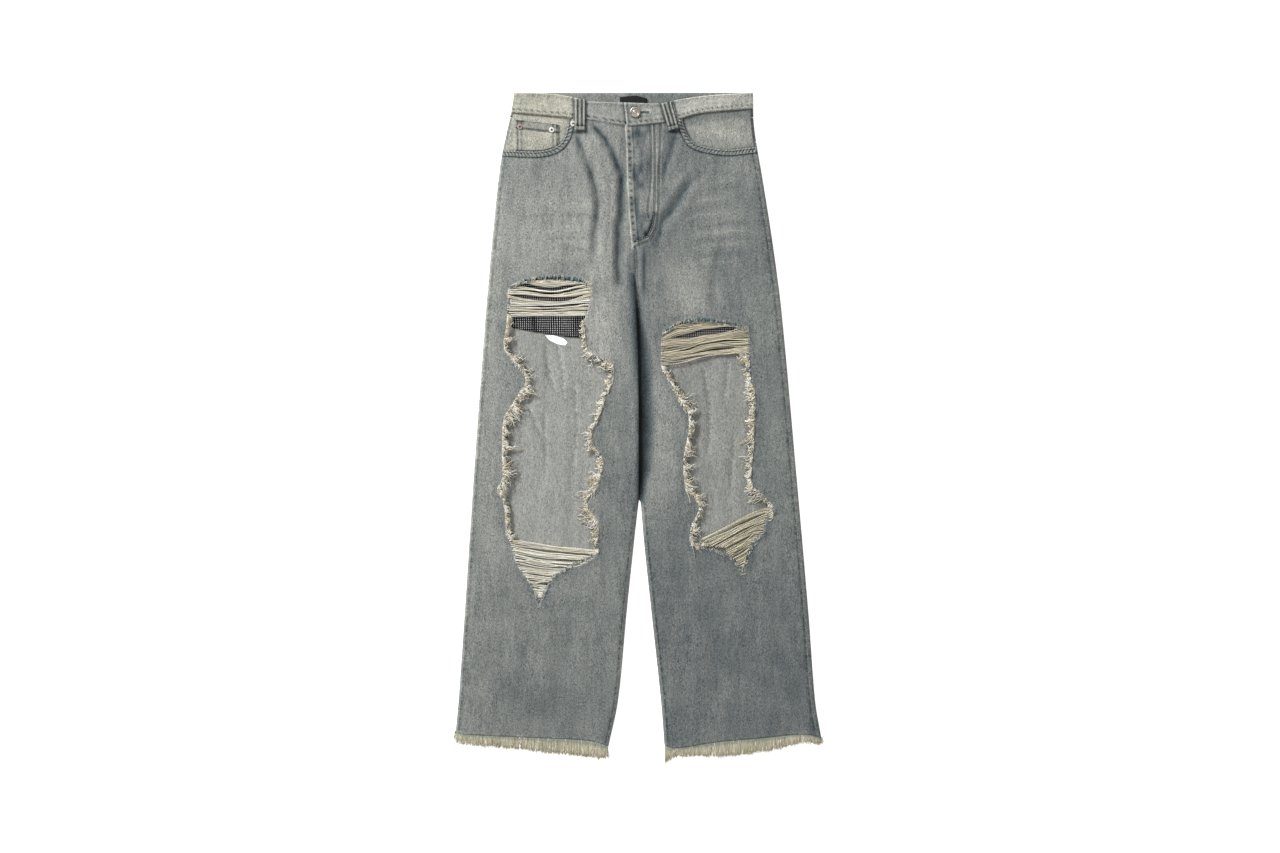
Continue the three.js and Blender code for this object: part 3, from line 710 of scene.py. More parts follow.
def make_cloth(name, outline, cuts, height, wash_and_shade, materials, thickness=DENIM, spacing=2.6, tint=0.0, fine=()):
    """A piece of cloth cut to an outline, less some cut-outs, with thickness under its upper face.

    Near the fine paths (path, reach, spacing) its points are closer together.
    """
    outline = np.asarray(outline, float)
    low, high = outline.min(0), outline.max(0)
    rows = np.arange(low[1], high[1], spacing * 0.866)
    points = []
    for i, row in enumerate(rows):
        stops = np.arange(low[0] + (i % 2) * spacing / 2, high[0], spacing)
        points.append(np.column_stack([stops, np.full(len(stops), row)]))
    grid = np.vstack(points)
    uneven = np.column_stack([noise(*grid.T, 1.3, 1.7, 71), noise(*grid.T, 1.7, 1.3, 72)])
    grid = grid + uneven * spacing * 0.12
    for path, reach, close in fine:
        grid = np.vstack([grid[along(path, *grid.T)[0] > reach], fine_points(path, reach, close)])
    rings = [outline] + [np.asarray(ring, float) for ring in cuts]
    tree = kdtree.KDTree(sum(len(ring) for ring in rings))
    for i, point in enumerate(np.vstack(rings)):
        tree.insert((point[0], point[1], 0), i)
    tree.balance()
    grid = grid[inside(outline, *grid.T)]
    far = [tree.find((x, y, 0))[2] > spacing * 0.55 for x, y in grid]
    grid = grid[np.array(far)]
    places = [Vector(point) for point in np.vstack(rings + [grid])]
    edges = []
    start = 0
    for ring in rings:
        count = len(ring)
        edges += [(start + i, start + (i + 1) % count) for i in range(count)]
        start += count
    found = delaunay_2d_cdt(places, edges, [], 0, 1e-5, False)
    flat = np.array([tuple(place) for place in found[0]])
    faces = np.array(found[2])
    middle = flat[faces].mean(1)
    keep = inside(outline, *middle.T)
    for ring in cuts:
        keep &= ~inside(ring, *middle.T)
    faces = faces[keep]
    used, faces = np.unique(faces, return_inverse=True)
    faces = faces.reshape(-1, 3)
    flat = flat[used]
    mesh = bpy.data.meshes.new(name)
    mesh.from_pydata(in_frame(flat[:, 0], flat[:, 1], height(flat[:, 0], flat[:, 1])), [], faces.tolist())
    tone = display_to_light(wash_and_shade(flat[:, 0], flat[:, 1]))
    tint = tint(flat[:, 0], flat[:, 1]) if callable(tint) else np.full(len(flat), tint)
    paint(mesh, np.column_stack([tone, tint]))
    mesh.polygons.foreach_set("use_smooth", np.ones(len(mesh.polygons), bool))
    piece = link(name, mesh, materials)
    select_only(piece)
    if mesh.polygons[0].normal.z < 0:
        mesh.flip_normals()
    solid = piece.modifiers.new("thickness", "SOLIDIFY")
    solid.thickness = thickness / 1000
    solid.offset = -1
    solid.material_offset = len(materials) - 1
    solid.material_offset_rim = 0
    bpy.ops.object.modifier_apply(modifier=solid.name)
    return piece


def make_yarns(name, centres, radii, colours, material):
    """Yarns as four-sided tubes: centres (yarn, point, xyz) in plan millimetres, a radius at each point."""
    centres = np.asarray(centres, float)
    count, length, _ = centres.shape
    radii = np.broadcast_to(np.asarray(radii, float), (count, length))
    way = np.gradient(centres, axis=1)
    way /= np.maximum(np.linalg.norm(way, axis=2), 1e-6)[..., None]
    up = np.zeros_like(way)
    up[..., 2] = 1
    across = np.cross(way, up)
    steep = np.linalg.norm(across, axis=2) < 0.05
    across[steep] = (1, 0, 0)
    across /= np.linalg.norm(across, axis=2)[..., None]
    over = np.cross(across, way)
    corners = []
    for turn in range(4):
        angle = (turn + 0.5) * math.pi / 2
        corners.append(centres + (across * math.cos(angle) + over * math.sin(angle)) * radii[..., None])
    rings = np.stack(corners, axis=2)
    numbers = np.arange(count * length * 4).reshape(count, length, 4)
    near, far = numbers[:, :-1, :], numbers[:, 1:, :]
    walls = np.stack([near, far, np.roll(far, -1, axis=2), np.roll(near, -1, axis=2)], axis=-1).reshape(-1, 4)
    ends = np.vstack([numbers[:, 0, :], numbers[:, -1, ::-1]])
    faces = np.vstack([walls, ends])
    places = rings.reshape(-1, 3)
    mesh = bpy.data.meshes.new(name)
    mesh.vertices.add(len(places))
    mesh.vertices.foreach_set("co", in_frame(*places.T).astype(np.float32).ravel())
    mesh.loops.add(faces.size)
    mesh.loops.foreach_set("vertex_index", faces.astype(np.int32).ravel())
    mesh.polygons.add(len(faces))
    mesh.polygons.foreach_set("loop_start", np.arange(0, faces.size, 4, dtype=np.int32))
    mesh.polygons.foreach_set("use_smooth", np.ones(len(faces), bool))
    mesh.update(calc_edges=True)
    mesh.validate()
    dye = np.repeat(np.asarray(colours, float), length * 4, axis=0)
    paint(mesh, dye)
    return link(name, mesh, [material])


# ---------------------------------------------------------------- materials
def new_group(name, outputs):
    group = bpy.data.node_groups.new(name, "ShaderNodeTree")
    for title, kind in outputs:
        group.interface.new_socket(title, in_out="OUTPUT", socket_type=kind)
    return group


def new_node(tree, kind, **settings):
    node = tree.nodes.new(kind)
    for key, value in settings.items():
        setattr(node, key, value)
    return node


def scaled_noise(tree, source, scale, detail, roughness):
    scaled = new_node(tree, "ShaderNodeMapping")
    scaled.inputs["Scale"].default_value = scale
    tree.links.new(source, scaled.inputs["Vector"])
    grain = new_node(tree, "ShaderNodeTexNoise")
    grain.inputs["Scale"].default_value = 1.0
    grain.inputs["Detail"].default_value = detail
    grain.inputs["Roughness"].default_value = roughness
    tree.links.new(scaled.outputs["Vector"], grain.inputs["Vector"])
    return grain.outputs["Fac"]


def arithmetic(tree, operation, a, b):
    node = new_node(tree, "ShaderNodeMath", operation=operation)
    for socket, value in zip(node.inputs, (a, b)):
        if isinstance(value, (int, float)):
            socket.default_value = value
        else:
            tree.links.new(value, socket)
    return node.outputs[0]


def multiply_colours(tree, colour, by):
    shade = new_node(tree, "ShaderNodeMix", data_type="RGBA", blend_type="MULTIPLY")
    shade.inputs["Factor"].default_value = 1.0
    tree.links.new(colour, shade.inputs["A"])
    tree.links.new(by, shade.inputs["B"])
    return shade.outputs["Result"]


def object_place(tree):
    return new_node(tree, "ShaderNodeTexCoord").outputs["Object"]


def painted_wash_and_shade(tree):
    """The cloth's painted colour: its lightness in red, wash and painted shade and highlights together, and
    its ecru tint in green, or a yarn's own dye.
    """
    return new_node(tree, "ShaderNodeAttribute", attribute_name="wash_and_shade").outputs["Color"]


def split_colour(tree, colour):
    split = new_node(tree, "ShaderNodeSeparateColor")
    tree.links.new(colour, split.inputs["Color"])
    return split.outputs


def add_bump(tree, height, strength, distance):
    bump = new_node(tree, "ShaderNodeBump")
    bump.inputs["Strength"].default_value = strength
    bump.inputs["Distance"].default_value = distance
    tree.links.new(height, bump.inputs["Height"])
    return bump.outputs["Normal"]


# The weave: uneven upright yarns, flecks where the weft shows, soft clouds of wash, and the twill's relief.
weave = new_group("denim_weave", [("Grain", "NodeSocketFloat"), ("Normal", "NodeSocketVector")])
place = object_place(weave)
streak = scaled_noise(weave, place, (760, 300, 300), 2.0, 0.6)
fleck = scaled_noise(weave, place, (1500, 1300, 1300), 1.0, 0.6)
cloud = scaled_noise(weave, place, (26, 13, 13), 2.0, 0.5)
slub = scaled_noise(weave, place, (260, 40, 40), 2.0, 0.55)
grain = arithmetic(weave, "MULTIPLY", arithmetic(weave, "SUBTRACT", streak, 0.5), 1.5)
for pattern, share in ((fleck, 2.2), (cloud, 0.25), (slub, 0.45)):
    uneven = arithmetic(weave, "SUBTRACT", pattern, 0.5)
    grain = arithmetic(weave, "ADD", grain, arithmetic(weave, "MULTIPLY", uneven, share))
twill = new_node(weave, "ShaderNodeTexWave", wave_type="BANDS", bands_direction="DIAGONAL")
twill.inputs["Scale"].default_value = 260.0
twill.inputs["Distortion"].default_value = 1.5
weave.links.new(place, twill.inputs["Vector"])
relief = arithmetic(weave, "ADD", twill.outputs["Fac"], arithmetic(weave, "MULTIPLY", streak, 1.6))
group_end = new_node(weave, "NodeGroupOutput")
weave.links.new(grain, group_end.inputs["Grain"])
weave.links.new(add_bump(weave, relief, 0.55, 0.0005), group_end.inputs["Normal"])


def new_material(name, roughness, specular=0.2):
    material = bpy.data.materials.new(name)
    material.use_nodes = True
    tree = material.node_tree
    surface = tree.nodes["Principled BSDF"]
    surface.inputs["Roughness"].default_value = roughness
    surface.inputs["Specular IOR Level"].default_value = specular
    return material, tree, surface


def denim_material(name, warp, weft, grain_share, lift=1.0):
    """Warp and weft colours, mixed so that the cloth has its painted lightness, wash and painted shade
    together, with the weave's grain.
    """
    material, tree, surface = new_material(name, 0.95, 0.12)
    wash_and_shade = split_colour(tree, painted_wash_and_shade(tree))
    cloth = new_node(tree, "ShaderNodeGroup")
    cloth.node_tree = weave
    grain = arithmetic(tree, "MULTIPLY", cloth.outputs["Grain"], grain_share * 1.35)
    lightness = arithmetic(tree, "MULTIPLY", wash_and_shade["Red"], lift)
    lightness = arithmetic(tree, "MULTIPLY", lightness, arithmetic(tree, "ADD", grain, 1.0))
    blend = new_node(tree, "ShaderNodeValToRGB")
    stops = blend.color_ramp.elements
    near_warp = tuple(mix(a, b, 0.055) for a, b in zip(warp, weft))
    stops[0].position, stops[0].color = 0.018, (0.017, 0.018, 0.018, 1)
    stops[1].position, stops[1].color = sum(weft) / 3, (*weft, 1)
    middle = stops.new(sum(near_warp) / 3)
    middle.color = (*near_warp, 1)
    tree.links.new(lightness, blend.inputs["Fac"])
    warm = new_node(tree, "ShaderNodeMix", data_type="RGBA", blend_type="MULTIPLY")
    warm.inputs["B"].default_value = (1.03, 1.0, 0.84, 1)
    tree.links.new(wash_and_shade["Green"], warm.inputs["Factor"])
    tree.links.new(blend.outputs["Color"], warm.inputs["A"])
    tree.links.new(warm.outputs["Result"], surface.inputs["Base Color"])
    tree.links.new(cloth.outputs["Normal"], surface.inputs["Normal"])
    return material


washed_denim = denim_material("washed_denim", (0.032, 0.059, 0.073), (0.73, 0.71, 0.64), 1.0)
reverse_denim = denim_material("reverse_denim", (0.05, 0.058, 0.053), (0.66, 0.665, 0.62), 0.8)

thread, tree, surface = new_material("thread", 0.95, 0.1)
fuzz = scaled_noise(tree, object_place(tree), (700, 700, 700), 2.0, 0.6)
fuzz = arithmetic(tree, "ADD", arithmetic(tree, "MULTIPLY", fuzz, 0.7), 0.66)
tree.links.new(multiply_colours(tree, painted_wash_and_shade(tree), fuzz), surface.inputs["Base Color"])

# Pocketing: black cotton with broken white pinstripes.
pocketing, tree, surface = new_material("pocketing", 0.9, 0.15)
place = object_place(tree)
axes = new_node(tree, "ShaderNodeSeparateXYZ")
tree.links.new(place, axes.inputs["Vector"])
wobble = scaled_noise(tree, place, (60, 25, 25), 1.0, 0.5)
across_bag = arithmetic(tree, "ADD", axes.outputs["X"], arithmetic(tree, "MULTIPLY", wobble, 0.003))
stripe = arithmetic(tree, "FRACT", arithmetic(tree, "DIVIDE", across_bag, 0.0035), 0)
dash = arithmetic(tree, "FRACT", arithmetic(tree, "DIVIDE", axes.outputs["Y"], 0.0036), 0)
on_stripe = arithmetic(tree, "LESS_THAN", stripe, 0.3)
on_dash = arithmetic(tree, "LESS_THAN", dash, 0.5)
colour = new_node(tree, "ShaderNodeMix", data_type="RGBA")
colour.inputs["A"].default_value = (0.012, 0.012, 0.018, 1)
colour.inputs["B"].default_value = (0.85, 0.85, 0.82, 1)
tree.links.new(arithmetic(tree, "MULTIPLY", on_stripe, on_dash), colour.inputs["Factor"])
wash_and_shade = split_colour(tree, painted_wash_and_shade(tree))
# The pocketing darkened by its painted lightness, which holds the crease's painted shade.
crease_shaded_pocketing = multiply_colours(tree, colour.outputs["Result"], wash_and_shade["Red"])
tree.links.new(crease_shaded_pocketing, surface.inputs["Base Color"])

label_cloth, tree, surface = new_material("label_cloth", 0.75, 0.3)
surface.inputs["Base Color"].default_value = (0.012, 0.012, 0.015, 1)
place = object_place(tree)
ribs = new_node(tree, "ShaderNodeTexWave", wave_type="BANDS", bands_direction="Y")
ribs.inputs["Scale"].default_value = 400.0
tree.links.new(place, ribs.inputs["Vector"])
tree.links.new(add_bump(tree, ribs.outputs["Fac"], 0.4, 0.0003), surface.inputs["Normal"])

worn_metal, tree, surface = new_material("worn_metal", 0.42, 0.5)
surface.inputs["Metallic"].default_value = 0.85
patches = scaled_noise(tree, object_place(tree), (400, 400, 400), 4.0, 0.65)
tarnish = new_node(tree, "ShaderNodeMix", data_type="RGBA")
tarnish.inputs["A"].default_value = (0.62, 0.57, 0.50, 1)
tarnish.inputs["B"].default_value = (0.30, 0.25, 0.21, 1)
patch_range = new_node(tree, "ShaderNodeMapRange")
patch_range.inputs["From Min"].default_value = 0.42
patch_range.inputs["From Max"].default_value = 0.68
tree.links.new(patches, patch_range.inputs["Value"])
tree.links.new(patch_range.outputs["Result"], tarnish.inputs["Factor"])
tree.links.new(tarnish.outputs["Result"], surface.inputs["Base Color"])
dullness = arithmetic(tree, "ADD", arithmetic(tree, "MULTIPLY", patches, 0.4), 0.2)
tree.links.new(dullness, surface.inputs["Roughness"])


# ---------------------------------------------------------------- the cloth pieces
def finish_piece(piece, slot_name, *nodes):
    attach(piece, "root")
    if nodes:
        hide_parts(*nodes)
    return piece


def below(edge, gap=GAP):
    return lambda x: edge(x) - gap


def level(value):
    return lambda x, y: np.full(np.shape(x), float(value))


mouth_right_ring = np.vstack([resample(MOUTH_PATH_RIGHT, 2.5), [(-250, 520)]])
mouth_left_ring = np.vstack([resample(MOUTH_PATH_LEFT, 2.5), [(230, 520)]])


def seam_line(edge, top, foot, shift):
    y = np.linspace(top, foot, 12)
    return np.column_stack([edge(y) + shift, y])


# Where the fronts' points are closer together: (path, reach, spacing).
fine_right = [
    (MOUTH_PATH_RIGHT, 12, 1.3),
    (seam_line(side_right, 430, -490, 4), 4.5, 1.7),
    (seam_line(inseam_right, -125, -505, -5), 4.5, 1.7),
]
fine_left = [
    (MOUTH_PATH_LEFT, 12, 1.3),
    (seam_line(side_left, 430, -490, -7), 5, 1.7),
    (seam_line(inseam_left, -125, -505, 5), 4.5, 1.7),
    ([(-15, 480), (-8, 292)], 14, 1.5),
    ([(22, 480), (20, 320)], 13, 1.5),
    ([(20, 325), (-8, 290)], 9, 1.5),
]
front_right = make_cloth(
    "right_leg_front", wall_outline(side_right, joined_right, below(band_seam_right, -3), hem_right),
    [mouth_right_ring, TEAR_RIGHT], right_height, lambda x, y: wear_and_shade(x, y, True),
    [washed_denim, reverse_denim], spacing=2.8, fine=fine_right,
)
finish_piece(front_right, "washed_denim", "front_right_leg")
front_left = make_cloth(
    "left_leg_front", wall_outline(joined_left, side_left, below(band_seam_left, -3), hem_left),
    [mouth_left_ring, TEAR_LEFT], left_height, lambda x, y: wear_and_shade(x, y, False),
    [washed_denim, reverse_denim], spacing=2.8, fine=fine_left,
)
finish_piece(front_left, "washed_denim", "front_left_leg")

BACK_SLIT = [(-152, 146), (-145, 138), (-132, 132), (-120, 130), (-116, 134), (-122, 141), (-138, 146)]


def back_height(x, y):
    return back_top(x, y) + 0.35 * (1 + noise(x, y, 15, 90, 81)) + 0.15 * (1 + noise(x, y, 30, 22, 82))


CREASES = [
    [(-150, 128), (-146, 90), (-138, 62)], [(-131, 128), (-124, 96), (-122, 60)], [(-176, 30), (-160, -10)],
    [(-104, 60), (-100, 0), (-106, -60)], [(-152, 20), (-150, -70)], [(104, 90), (112, 30), (110, -40)],
    [(140, 100), (136, 40)], [(150, -20), (146, -90)],
]


def wash_and_shade_back(base):
    def at(x, y):
        soft = 7 * noise(x, y, 9, 120, 83) + 4 * noise(x, y, 17, 60, 84)
        # Painted light on one side of each crease and painted shade on the other.
        for crease in CREASES:
            away, _, side = along(crease, x, y)
            soft = soft + 17 * side * bell(away - 1.5, 4.5)
        return base + soft
    return at


def back_inner_right(y):
    return np.where(y > CROTCH, centre_back(y) - GAP, inseam_right(y))


def back_inner_left(y):
    return np.where(y > CROTCH, centre_back(y) + GAP, inseam_left(y))


back_right = make_cloth(
    "right_leg_back", wall_outline(side_right, back_inner_right, below(yoke_seam), hem_right), [BACK_SLIT],
    back_height, wash_and_shade_back(158), [reverse_denim, washed_denim], spacing=4.5,
)
finish_piece(back_right, "reverse_denim", "back_right_leg")
back_left = make_cloth(
    "left_leg_back", wall_outline(back_inner_left, side_left, below(yoke_seam), hem_left), [],
    back_height, wash_and_shade_back(149), [reverse_denim, washed_denim], spacing=4.5,
)
finish_piece(back_left, "reverse_denim", "back_left_leg")


back_seam = steady(BACK_BAND_SEAM)
back_top_edge = steady(BACK_BAND_TOP)
yoke_height = level(SEAT_RISE + DENIM)
yoke_right = make_cloth(
    "right_yoke", wall_outline(side_right, lambda y: centre_back(y) - GAP, below(back_seam), yoke_seam), [],
    yoke_height, level(140), [reverse_denim, washed_denim], spacing=5,
)
finish_piece(yoke_right, "washed_denim", "back_right_yoke")
yoke_left = make_cloth(
    "left_yoke", wall_outline(lambda y: centre_back(y) + GAP, side_left, below(back_seam), yoke_seam), [],
    yoke_height, level(134), [reverse_denim, washed_denim], spacing=5,
)
finish_piece(yoke_left, "washed_denim", "back_left_yoke")


def patch_pocket(name, node, centre_x):
    corners = [(-76, 414), (-66, 268), (0, 244), (66, 268), (76, 414)]
    ring = resample([(centre_x + x, y) for x, y in corners], 3, closed=True)
    piece = make_cloth(name, ring, [], level(DENIM), level(146), [reverse_denim, washed_denim], spacing=5)
    return finish_piece(piece, "washed_denim", node)


pocket_right = patch_pocket("right_back_pocket", "back_right_pocket", -118)
pocket_left = patch_pocket("left_back_pocket", "back_left_pocket", 98)


def rounded_edges(distance, reach=3.0, drop=1.3):
    """How far a face drops towards its edge."""
    t = np.clip(1 - distance / reach, 0, 1)
    return -drop * t * t


def band_height(is_right):
    top = band_top_right if is_right else band_top_left
    foot = band_seam_right if is_right else band_seam_left
    under = band_under if is_right else band_under_left

    def at(x, y):
        from_top, from_foot = top(x) - y, y - foot(x)
        face = under(x, y) + BAND + rounded_edges(from_top) + rounded_edges(from_foot, 2.2, 1.0)
        roping = 0.25 * np.sin(x * 2 * math.pi / 6.1 + y * 0.6) * bell(from_foot - 4, 3)
        roping = roping + 0.18 * np.sin(x * 2 * math.pi / 7.3 - y * 0.5) * bell(from_top - 5, 3)
        groove = -0.25 * bell(from_foot - 2.2, 0.9) - 0.25 * bell(from_top - 2.2, 0.9)
        face = face + roping + groove + 0.3 * noise(x, y, 21, 9, 91)
        if not is_right:
            slot_away = along([(2.5, 501.6), (12, 501.6)], x, y)[0]
            face = face + 0.5 * bell(slot_away - 2.6, 1.2) - 1.2 * bell(slot_away, 1.1)
        return face
    return at


band_tone = line([
    (-210, 174), (-130, 180), (-100, 176), (-84, 160), (20, 156), (50, 164), (90, 180), (190, 182),
])


def band_wash_and_shade(is_right):
    top = band_top_right if is_right else band_top_left
    foot = band_seam_right if is_right else band_seam_left

    def at(x, y):
        tone = band_tone(x)
        from_top, from_foot = top(x) - y, y - foot(x)
        rope = 0.5 + 0.5 * np.sin(x * 2 * math.pi / 9.1 + y * 0.8 + 2 * noise(x, y, 20, 20, 68))
        tone = tone - 96 * bell(from_foot - 6, 1.9) * rope * rope
        tone = tone + 20 * bell(from_foot - 10, 1.6) * rope + 16 * bell(from_foot - 2.6, 1.2)
        rope = 0.5 + 0.5 * np.sin(x * 2 * math.pi / 8.3 - y * 0.8 + 2 * noise(x, y, 20, 20, 69))
        tone = tone - 40 * bell(from_top - 5, 2.0) * rope
        tone = tone + 14 * bell(from_top, 1.5) + 11 * noise(x, y, 12, 7, 92) + 8 * noise(x, y, 5, 5, 93)
        # Painted shadow beside each belt loop.
        for loop_path in LOOP_PATHS:
            tone = tone - 84 * bell(along(loop_path, x, y)[0] - 10.6, 1.7)
        tone = tone - 40 * spot(x, y, 150, 515, 4, 3) - 30 * spot(x, y, 169, 518, 4, 2.5)
        # At the centre front: painted shade where the left band's end lies over the right band, and on the
        # left band a painted highlight on its lit end and a dark line by its stitching.
        from_end = x - centre_front(y) + 1
        if is_right:
            tone = tone - 60 * bell(from_end, 2.2)
        else:
            slot_away = along([(2.5, 501.6), (13, 501.6)], x, y)[0]
            tone = tone - 120 * bell(slot_away, 1.5) + 14 * bell(slot_away - 3.2, 1.3)
            tone = tone + 30 * bell(from_end - 1, 1.5) - 44 * bell(from_end - 4.4, 1.3)
            # Painted shadow in a ring round the waist button.
            tone = tone - 34 * bell(np.hypot(x + 8, y - 501.6) - 9.6, 1.6)
        return tone
    return at


band_tint = line([(-210, 0.55), (-110, 0.45), (-84, 0.0), (50, 0.0), (90, 0.15), (190, 0.15)])
band_right = make_cloth(
    "right_front_waistband",
    wall_outline(side_right, lambda y: centre_front(y) + 6, band_top_right, band_seam_right, step=2.2), [],
    lambda x, y: band_height(True)(x, y) - 2.4 * smooth_step(-32, -22, x), band_wash_and_shade(True),
    [washed_denim], thickness=2.4, spacing=2.2, tint=lambda x, y: band_tint(x),
)
finish_piece(band_right, "tinted_denim", "waistband_front_right")
band_left = make_cloth(
    "left_front_waistband",
    wall_outline(lambda y: centre_front(y) - 1, side_left, band_top_left, band_seam_left, step=2.2), [],
    band_height(False), band_wash_and_shade(False), [washed_denim], thickness=2.4, spacing=2.2,
    tint=lambda x, y: band_tint(x),
)
finish_piece(band_left, "tinted_denim", "waistband_front_left")


def back_band_height(x, y):
    face = SEAT_RISE + BAND + rounded_edges(BACK_BAND_TOP - y, 2.5, 1.0)
    return face + rounded_edges(y - BACK_BAND_SEAM, 2.5, 1.0) + 0.15 * noise(x, y, 18, 8, 93)


def back_band_wash(x, y):
    return 134 - 12 * smooth_step(-40, 10, x) + 8 * noise(x, y, 9, 6, 94)


band_back = make_cloth(
    "back_waistband", wall_outline(side_right, side_left, back_top_edge, back_seam), [],
    back_band_height, back_band_wash, [washed_denim], thickness=2.8, spacing=3.5, tint=0.1,
)
finish_piece(band_back, "washed_denim", "waistband_back")


def bag_height(x, y):
    crease = bell(x + 169 + (y - 160) * 0.1, 2.2) + bell(x + 113, 3)
    loose = 0.4 * (1 + noise(x, y, 26, 60, 95)) * smooth_step(420, 380, y)
    return back_top(x, y) + GAP + THIN + loose + 0.9 * crease * smooth_step(200, 180, y)


def bag_wash_and_shade(x, y):
    """How light the pocketing is: uneven, with painted shade down its crease below the threads."""
    crease = bell(x + 169 + (y - 160) * 0.1, 3.5) + 0.5 * bell(x + 100, 5)
    return 232 + 14 * noise(x, y, 12, 20, 85) - 120 * crease * smooth_step(200, 180, y)


bag_right = make_cloth(
    "right_pocket_bag",
    wall_outline(lambda y: side_right(y) + 8, upright([(-62, 485), (-58, 300), (-70, 150)]),
                 steady(478.0), line([(-240, 162), (-203, 157), (-100, 142), (-60, 148)])),
    [], bag_height, bag_wash_and_shade, [pocketing], thickness=0.8, spacing=4.8,
)
finish_piece(bag_right, "pocketing", "pocket_bag_right")
bag_left = make_cloth(
    "left_pocket_bag",
    wall_outline(upright([(38, 485), (34, 300), (44, 130)]), lambda y: side_left(y) - 8,
                 steady(478.0), line([(40, 124), (120, 118), (225, 128)])),
    [], bag_height, bag_wash_and_shade, [pocketing], thickness=0.8, spacing=4.8,
)
finish_piece(bag_left, "pocketing", "pocket_bag_left")


def facing_height(x, y):
    rise = back_top(x, y) + 2 * GAP + 2 * THIN + 0.8 * smooth_step(455, 485, y)
    return rise + 0.25 * noise(x, y, 16, 14, 96)


def wash_and_shade_facing(base, mouth, band_seam, shade):
    def at(x, y):
        tone = base + 8 * noise(x, y, 14, 9, 97) + 5 * noise(x, y, 5, 5, 96)
        # Painted shadow under the pocket mouth's edge, a lighter patch, then painted shade under the waistband
        # by the amount shade.
        tone = tone - 24 * bell(along(mouth, x, y)[0], 3) + 16 * spot(x, y, 140, 468, 40, 10)
        return tone - shade * smooth_step(band_seam(x) - 20, band_seam(x) - 8, y)
    return at


facing_right = make_cloth(
    "right_pocket_facing",
    wall_outline(lambda y: side_right(y) + 4, steady(-104.0), below(band_seam_right, -1),
                 steady(426.0)),
    [], facing_height, wash_and_shade_facing(172, MOUTH_PATH_RIGHT, band_seam_right, -8), [washed_denim, reverse_denim],
    thickness=0.9, spacing=2.4, tint=0.45,
)
finish_piece(facing_right, "tinted_denim", "pocket_facing_right")
facing_left = make_cloth(
    "left_pocket_facing",
    wall_outline(steady(58.0), lambda y: side_left(y) - 4, below(band_seam_left, -1),
                 steady(430.0)),
    [], facing_height, wash_and_shade_facing(152, MOUTH_PATH_LEFT, band_seam_left, 22), [washed_denim, reverse_denim],
    thickness=0.9, spacing=2.4, tint=0.15,
)
finish_piece(facing_left, "tinted_denim", "pocket_facing_left")

coin_top = line([(-199, 490), (-129, 482)])
coin_foot = line([(-199, 441), (-160, 441), (-140, 445), (-129, 451)])


def coin_height(x, y):
    edge = np.minimum(np.minimum(x + 199, -129 - x), coin_top(x) - y)
    hem_band = 0.5 * smooth_step(13, 11.5, coin_top(x) - y)
    return facing_height(x, y) + GAP + THIN + rounded_edges(edge, 1.6, 0.6) + hem_band


def wash_and_shade_coin(x, y):
    """Paler below its hem, with dark stitched lines down both sides and under the hem, and painted shadow
    under the mouth's edge and along the top.
    """
    from_top = coin_top(x) - y
    tone = 170 + 7 * noise(x, y, 9, 7, 98)
    tone = tone + 18 * spot(x, y, -155, 464, 22, 8) - 12 * smooth_step(12, 8, from_top)
    for seam_x, dark in ((-195.5, 88), (-189.5, 60), (-139, 64), (-132.5, 88)):
        tone = tone - dark * bell(x - seam_x, 1.5) * (0.8 + 0.5 * noise(y, y * 0, 4, 1, 75))
    tone = tone + 16 * bell(x + 192.5, 1.2) + 16 * bell(x + 136, 1.0)
    # Painted shadow under the pocket mouth's edge and along the top edge.
    tone = tone - 24 * bell(along(MOUTH_PATH_RIGHT, x, y)[0], 3)
    tone = tone - 40 * bell(from_top, 1.6) - 50 * spot(x, y, -190, 487, 8, 2.5)
    return tone - 84 * bell(from_top - 12.5, 1.7) + 16 * bell(from_top - 15.5, 1.3)


coin = make_cloth(
    "coin_pocket_patch",
    wall_outline(steady(-199.0), steady(-129.0), coin_top, coin_foot),
    [], coin_height, wash_and_shade_coin, [washed_denim, reverse_denim], thickness=0.9, spacing=2.0, tint=0.45,
)
finish_piece(coin, "tinted_denim", "coin_pocket")


